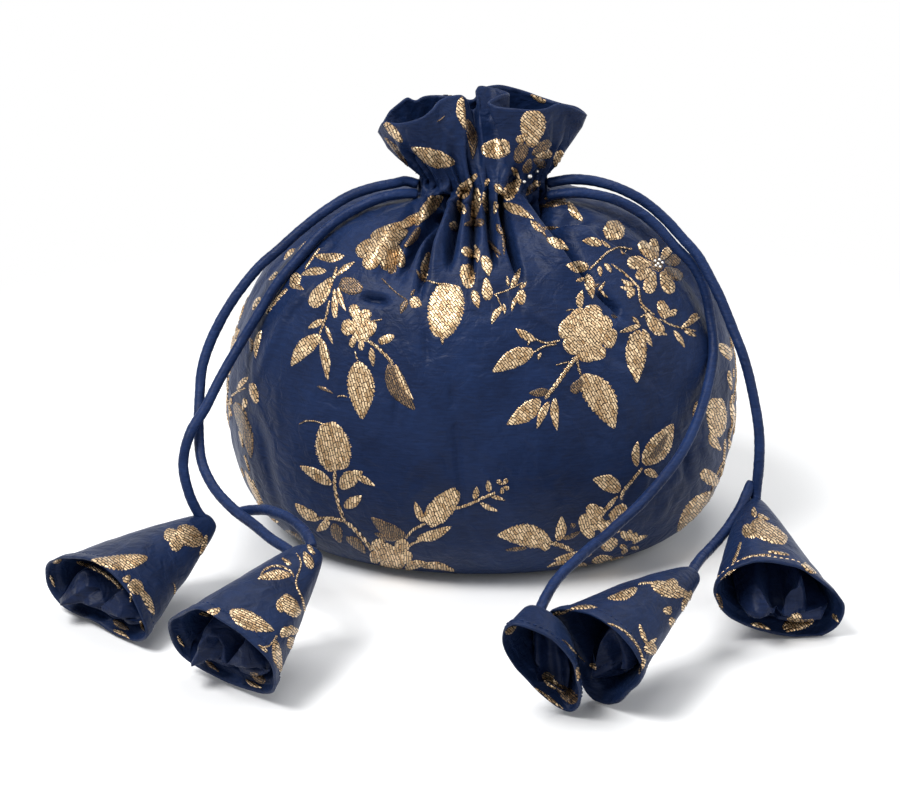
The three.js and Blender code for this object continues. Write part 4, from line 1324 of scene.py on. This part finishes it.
# A leaf's edge steps in by TOOTH_DEPTH of its width every TOOTH_PITCH pixels, and its middle line bends
# by up to LEAF_BEND of its length
TOOTH_PITCH, TOOTH_DEPTH, LEAF_BEND = 2.1, 0.17, 0.07
# The dimmed finish is darker gold that stands partly for wear and partly for painted shade where the cloth
# turns from the light
ZARI_FINISHES = {
    "brocade": {"floats": gold_floats, "stems": gold_stems, "dimmed": gold_worn_and_painted_shade},
    "tassel_cloth": {"floats": tassel_floats, "stems": tassel_stems, "dimmed": gold_worn_and_painted_shade},
}


def outline(kind, share):
    """Half the width of a part at each share of its length, as a share of its full width."""
    share = np.clip(share, 0, 1)
    if kind == "leaf":
        return 0.5 * np.sin(np.pi * share ** 0.8) ** 0.85
    if kind == "bud":
        return 0.5 * np.sin(np.pi * (0.06 + 0.9 * share) ** 0.9) ** 0.55
    widest = 0.55
    opening = np.clip(share / widest, 0, 1) ** 0.55
    closing = 1 - ((share - widest) / 0.46).clip(0) ** 2.6
    return 0.5 * opening * np.sqrt(np.clip(closing, 0, 1))


def pressed_on(carrier, places, sight_line):
    """Where each drawing point meets the carrier, and the way out of its surface there."""
    met = {}
    for i, j in np.ndindex(places.shape[:2]):
        origin, ray = sight_line(*places[i, j])
        hit, normal, _, _ = carrier.ray_cast(origin, ray)
        if hit is not None:
            met[i, j] = (hit / MM, -normal if normal.dot(ray) > 0 else normal)
    kept = {}
    for (i, j), (hit, normal) in met.items():
        beside = [met[near][0] for near in ((i - 1, j), (i + 1, j), (i, j - 1), (i, j + 1)) if near in met]
        if not beside or min((hit - other).length for other in beside) <= SLIP:
            kept[i, j] = (hit, normal)
    return kept


class SprayMesh:
    """Gathers the woven parts of one finish on one carrier."""

    def __init__(self):
        self.points, self.faces, self.uvs = [], [], []

    def add_part(self, spots, rise, uvs):
        """spots is what pressed_on gives; rise and uvs have a value for each point of the drawing's grid."""
        number = {}
        for place, (hit, normal) in spots.items():
            number[place] = len(self.points)
            self.points.append(tuple(hit + normal * rise[place]))
            self.uvs.append(tuple(uvs[place]))
        for (i, j), (_, outward) in spots.items():
            square = [(i, j), (i + 1, j), (i + 1, j + 1), (i, j + 1)]
            if not all(place in number for place in square):
                continue
            corners = tuple(number[place] for place in square)
            quad = [Vector(self.points[c]) for c in corners]
            if max((quad[k] - quad[k - 1]).length for k in range(4)) > LONGEST_SIDE:
                continue
            facing = (quad[2] - quad[0]).cross(quad[3] - quad[1])
            self.faces.append(corners if facing.dot(outward) > 0 else corners[::-1])

    def finish(self, name, material, slot_name):
        if not self.faces:
            return
        piece = mesh_piece(name, self.points, self.faces, material, self.uvs)
        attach(piece, "root")


def stem_grid(part, unit):
    """Line, sideways direction and half width along a stem, with how far it has come and its columns."""
    line = curve_through(part[2:], max(6, int(length_of(part[2:]) / unit / STEM_ROW)))
    ahead = np.gradient(line, axis=0)
    ahead /= np.maximum(np.linalg.norm(ahead, axis=1), 1e-9)[:, None]
    side = np.stack([-ahead[:, 1], ahead[:, 0]], axis=1)
    share = np.linspace(0, 1, len(line))
    half = part[1] * 0.5 * (0.8 + 0.2 * np.cos(2 * np.pi * share * len(line) / 4.0))
    return line, side, half, share, np.linspace(-1, 1, STEM_COLUMNS)


def leaf_grid(part, kind, unit):
    """The same for a leaf, bud or petal, with its stepped edge."""
    start, end = np.array(part[1:3], dtype=float), np.array(part[3:5], dtype=float)
    width = part[5]
    run = end - start
    size = np.linalg.norm(run)
    rows = int(np.clip(size / unit / LEAF_ROW, 8, 44))
    share = np.linspace(0, 1, rows)
    ahead = run / size
    normal = np.array([-ahead[1], ahead[0]])
    bend = LEAF_BEND * size * math.sin(start[0] * 0.37 + end[1] * 0.23) if kind == "leaf" else 0.0
    line = start + share[:, None] * run + (np.sin(np.pi * share) * bend)[:, None] * normal
    side = np.repeat(normal[None], rows, axis=0)
    tooth = (share * size / unit / TOOTH_PITCH) % 1.0
    half = width * outline(kind, share) * (1.0 - TOOTH_DEPTH * tooth)
    return line, side, half, share, np.linspace(-1, 1, int(np.clip(width / unit / LEAF_COLUMN, 5, 19)))


def drawing_grid(part, unit):
    """Grid of drawing points for one part, with its columns from -1 to 1 and how far each row has come."""
    kind = part[0].replace("dull_", "")
    line, side, half, share, across = stem_grid(part, unit) if kind == "stem" else leaf_grid(part, kind, unit)
    places = line[:, None, :] + side[:, None, :] * half[:, None, None] * across[None, :, None]
    return places, across, share


def finish_of(part):
    # dull_ parts take the dimmed finish: wear, with painted shade
    if part[0].startswith("dull_"):
        return "dimmed"
    return "stems" if part[0] == "stem" else "floats"


def weave_sprays(name, drawing, sight_line, carrier, slot_name):
    """Lays one drawing on its carrier, as floats, stems and dimmed parts, whose darker gold is partly wear
    and partly painted shade.
    """
    meshes = {"floats": SprayMesh(), "stems": SprayMesh(), "dimmed": SprayMesh()}
    for number, part in enumerate(drawing.parts):
        places, across, share = drawing_grid(part, drawing.enlargement)
        turn = math.radians(drawing.float_angle + FLOAT_SWAY * math.sin(number * 2.3))
        x, y = np.moveaxis(places * (PHOTO_MM / drawing.enlargement), -1, 0)
        cos, sin = math.cos(turn), math.sin(turn)
        uvs = np.stack([x * cos + y * sin, y * cos - x * sin], axis=-1)
        sides = np.clip((1 - np.abs(across) ** 4) * 1.6, 0, 1)
        ends = np.clip(np.minimum(share, 1 - share) * 10, 0, 1)[:, None]
        layer = LAYER_RISE * (number % LAYERS)
        rise = (THREAD_RISE + CLOTH_GRIP + layer) * sides * ends - CLOTH_GRIP
        meshes[finish_of(part)].add_part(pressed_on(carrier, places, sight_line), rise, uvs)
    for finish, mesh in meshes.items():
        mesh.finish(f"{name}_{finish}", ZARI_FINISHES[slot_name][finish], slot_name)


def photo_sight(drawing):
    """Lines of sight from the camera, through the drawing's own place in the photograph."""
    def sight_line(x, y):
        u = drawing.corner_u + x / drawing.enlargement
        v = drawing.corner_v + y / drawing.enlargement
        return camera_place, sight(u, v)
    return sight_line


def surface_of(piece):
    """The piece's surface, ready to be found by a line of sight."""
    mesh = piece.data
    return BVHTree.FromPolygons([vertex.co.copy() for vertex in mesh.vertices],
                                [tuple(polygon.vertices) for polygon in mesh.polygons])


class NearestSurface:
    """Several surfaces, of which a line of sight meets the nearest."""

    def __init__(self, pieces):
        self.surfaces = [surface_of(piece) for piece in pieces]

    def ray_cast(self, origin, ray):
        best = (None, None, None, None)
        for surface in self.surfaces:
            found = surface.ray_cast(origin, ray)
            if found[0] is not None and (best[0] is None or found[3] < best[3]):
                best = found
        return best


bag_surface = surface_of(bag_cloth)
tassel_surface = NearestSurface(list(tassels.values()) + list(buds.values()))

for name, drawing in (("left_spray", LEFT_SPRAYS), ("neck_spray", NECK_SPRAYS), ("right_spray", RIGHT_SPRAYS),
                      ("lower_left_spray", LOWER_LEFT_SPRAYS), ("lower_right_spray", LOWER_RIGHT_SPRAYS)):
    weave_sprays(name, drawing, photo_sight(drawing), bag_surface, "brocade")
for name, drawing in (("left_tassel_spray", TASSEL_SPRAYS_LEFT), ("right_tassel_spray", TASSEL_SPRAYS_RIGHT)):
    weave_sprays(name, drawing, photo_sight(drawing), tassel_surface, "tassel_cloth")


# The same sprays again where the photograph doesn't look: each drawing is laid flat before one side of the
# bag, as on a printed sheet, and pressed on along the way that the side faces. Each row has the side, the
# drawing, its middle's place in millimetres, the way it reads, the way the side faces and its scale
HIDDEN_SIDES = [
    ("back_right", RIGHT_SPRAYS, (66, 60, 92), (-1, 0.25, 0), (0.1, 1, 0.35), 1.0),
    ("back_left", LEFT_SPRAYS, (-58, 62, 92), (-1, -0.25, 0), (-0.1, 1, 0.35), 1.0),
    ("back_low_right", LOWER_LEFT_SPRAYS, (52, 80, 42), (-1, 0.1, 0), (0.1, 1, -0.05), 0.95),
    ("back_low_left", LOWER_RIGHT_SPRAYS, (-62, 74, 44), (-1, -0.1, 0), (-0.1, 1, -0.05), 0.95),
    ("left_side", RIGHT_SPRAYS, (-112, 14, 72), (0, -1, 0), (-1, 0.1, 0.15), 0.8),
    ("right_side", LEFT_SPRAYS, (112, 14, 72), (0, 1, 0), (1, 0.1, 0.15), 0.8),
    ("back_neck", NECK_SPRAYS, (2, 40, 166), (-1, 0, 0), (0, 1, 0.2), 0.95),
]
SHEET_STAND_OFF = 40


def side_sight(drawing, place, across, facing, scale):
    """Lines of sight from the drawing's flat sheet, which stands off its place and faces it."""
    facing = Vector(facing).normalized()
    across = Vector(across)
    across = (across - facing * across.dot(facing)).normalized()
    down = facing.cross(across)
    down = down if down.z < 0 else -down
    middle = np.median(np.array([part[1:3] for part in drawing.parts if "stem" not in part[0]]), axis=0)
    step = PHOTO_MM / drawing.enlargement * scale
    start = Vector(place) + facing * SHEET_STAND_OFF

    def sight_line(x, y):
        return (start + across * ((x - middle[0]) * step) + down * ((y - middle[1]) * step)) * MM, -facing
    return sight_line


for name, drawing, place, across, facing, scale in HIDDEN_SIDES:
    weave_sprays(name + "_spray", drawing, side_sight(drawing, place, across, facing, scale), bag_surface,
                 "brocade")


# small beads sewn on two flowers: the pixel of each and its width in millimetres

BEADS = [
    (654, 262, 1.5), (658, 261, 1.5), (661, 264, 1.4), (659, 268, 1.5), (655, 267, 1.4), (657, 265, 1.6),
    (529, 175, 2.2), (523, 181, 1.6), (536, 170, 1.5),
]
BEAD_RINGS, BEAD_STEPS = 5, 8
BEAD_SEAT = 0.9


def bead_points(hit, normal, wide):
    """Rings of one bead whose middle stands BEAD_SEAT off the cloth."""
    side = normal.orthogonal().normalized()
    other = normal.cross(side)
    points = []
    for ring in range(BEAD_RINGS):
        rise = math.pi * (ring + 0.5) / BEAD_RINGS
        for step in range(BEAD_STEPS):
            turn = 2 * math.pi * step / BEAD_STEPS
            spread = side * math.cos(turn) + other * math.sin(turn)
            spot = hit + normal * (BEAD_SEAT - math.cos(rise) * wide / 2) + spread * math.sin(rise) * wide / 2
            points.append(tuple(spot))
    return points


def sew_beads():
    points, faces = [], []
    for u, v, wide in BEADS:
        hit, normal, _, _ = bag_surface.ray_cast(camera_place, sight(u, v))
        first = len(points)
        points += bead_points(hit / MM, normal, wide)
        faces += ring_faces(BEAD_RINGS, BEAD_STEPS, first)
        faces.append(tuple(reversed(range(first, first + BEAD_STEPS))))
        faces.append(tuple(range(len(points) - BEAD_STEPS, len(points))))
    piece = mesh_piece("flower_beads", points, faces, bead_glass())
    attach(piece, "root")


sew_beads()


# floor and light

FLOOR_HALF_WIDTH = 3
FLOOR_DROP = 0.0004
# The floor is lit white near the bag, with this share of glow, and all glow past the second distance
FLOOR_GLOW = 0.02
GLOW_START, GLOW_END = 0.2, 0.42
LAMP_AIM = Vector((0, 0, 0.08))
# Name, place, size and power in watts of each lamp
LAMPS = [
    ("key_from_upper_left", (-0.75, -0.65, 1.45), (0.7, 0.7), 30),
    ("fill_from_right", (1.3, -0.6, 0.9), (0.9, 0.8), 7),
    ("top", (0.1, 0.35, 1.6), (1.2, 0.8), 14),
]
FILL_COLOUR, FILL_STRENGTH = (0.92, 0.96, 1.0, 1), 0.34


def floor_white():
    """White that the bag's shadow falls on, fading to the white of the background."""
    material, tree, shader = new_material("white_floor")
    set_inputs(tree, shader, Base_Color=(0.9, 0.9, 0.9, 1), Roughness=0.8, Specular_IOR_Level=0.05)
    place = add_node(tree, "ShaderNodeTexCoord").outputs["Object"]
    reach = add_node(tree, "ShaderNodeVectorMath", place, settings={"operation": 'LENGTH'})
    fade = add_node(tree, "ShaderNodeMapRange", settings={"interpolation_type": 'SMOOTHSTEP'},
                    Value=reach.outputs["Value"], From_Min=GLOW_START, From_Max=GLOW_END,
                    To_Min=FLOOR_GLOW, To_Max=1.0)
    seen = add_node(tree, "ShaderNodeLightPath")
    only_seen = add_math(tree, 'MULTIPLY', fade.outputs["Result"], seen.outputs["Is Camera Ray"])
    glow = add_node(tree, "ShaderNodeEmission", Strength=1.0)
    mixed = add_node(tree, "ShaderNodeMixShader", only_seen, shader.outputs["BSDF"], glow.outputs[0])
    set_inputs(tree, tree.nodes["Material Output"], Surface=mixed.outputs[0])
    return material


def set_the_stage():
    half = FLOOR_HALF_WIDTH
    corners = [(-half, -half, 0), (half, -half, 0), (half, half, 0), (-half, half, 0)]
    floor = bpy.data.meshes.new("floor")
    floor.from_pydata(corners, [], [(0, 1, 2, 3)])
    floor.materials.append(floor_white())
    piece = add_object("floor", floor)
    piece.location.z = -FLOOR_DROP


def soft_lamp(name, place, size, power):
    data = bpy.data.lights.new(name, 'AREA')
    data.shape = 'RECTANGLE'
    data.size, data.size_y = size
    data.energy = power
    lamp = add_object(name, data)
    lamp.location = place
    lamp.rotation_euler = (LAMP_AIM - Vector(place)).to_track_quat('-Z', 'Y').to_euler()


def set_the_light():
    """A dim world that fills the shadows but looks white, and the soft lamps."""
    world = bpy.data.worlds.new("studio")
    world.use_nodes = True
    tree = world.node_tree
    tree.nodes.clear()
    seen = add_node(tree, "ShaderNodeLightPath").outputs
    through = add_math(tree, 'MAXIMUM', seen["Is Camera Ray"], seen["Is Transmission Ray"])
    clear = add_math(tree, 'MAXIMUM', through, seen["Is Glossy Ray"])
    fill = add_node(tree, "ShaderNodeBackground", Color=FILL_COLOUR, Strength=FILL_STRENGTH)
    white = add_node(tree, "ShaderNodeBackground", Color=(1, 1, 1, 1), Strength=1.0)
    choose = add_node(tree, "ShaderNodeMixShader", clear, fill.outputs[0], white.outputs[0])
    add_node(tree, "ShaderNodeOutputWorld", Surface=choose.outputs[0])
    bpy.context.scene.world = world
    for lamp in LAMPS:
        soft_lamp(*lamp)


set_the_stage()
set_the_light()
scene = bpy.context.scene
scene.view_settings.view_transform = 'Standard'
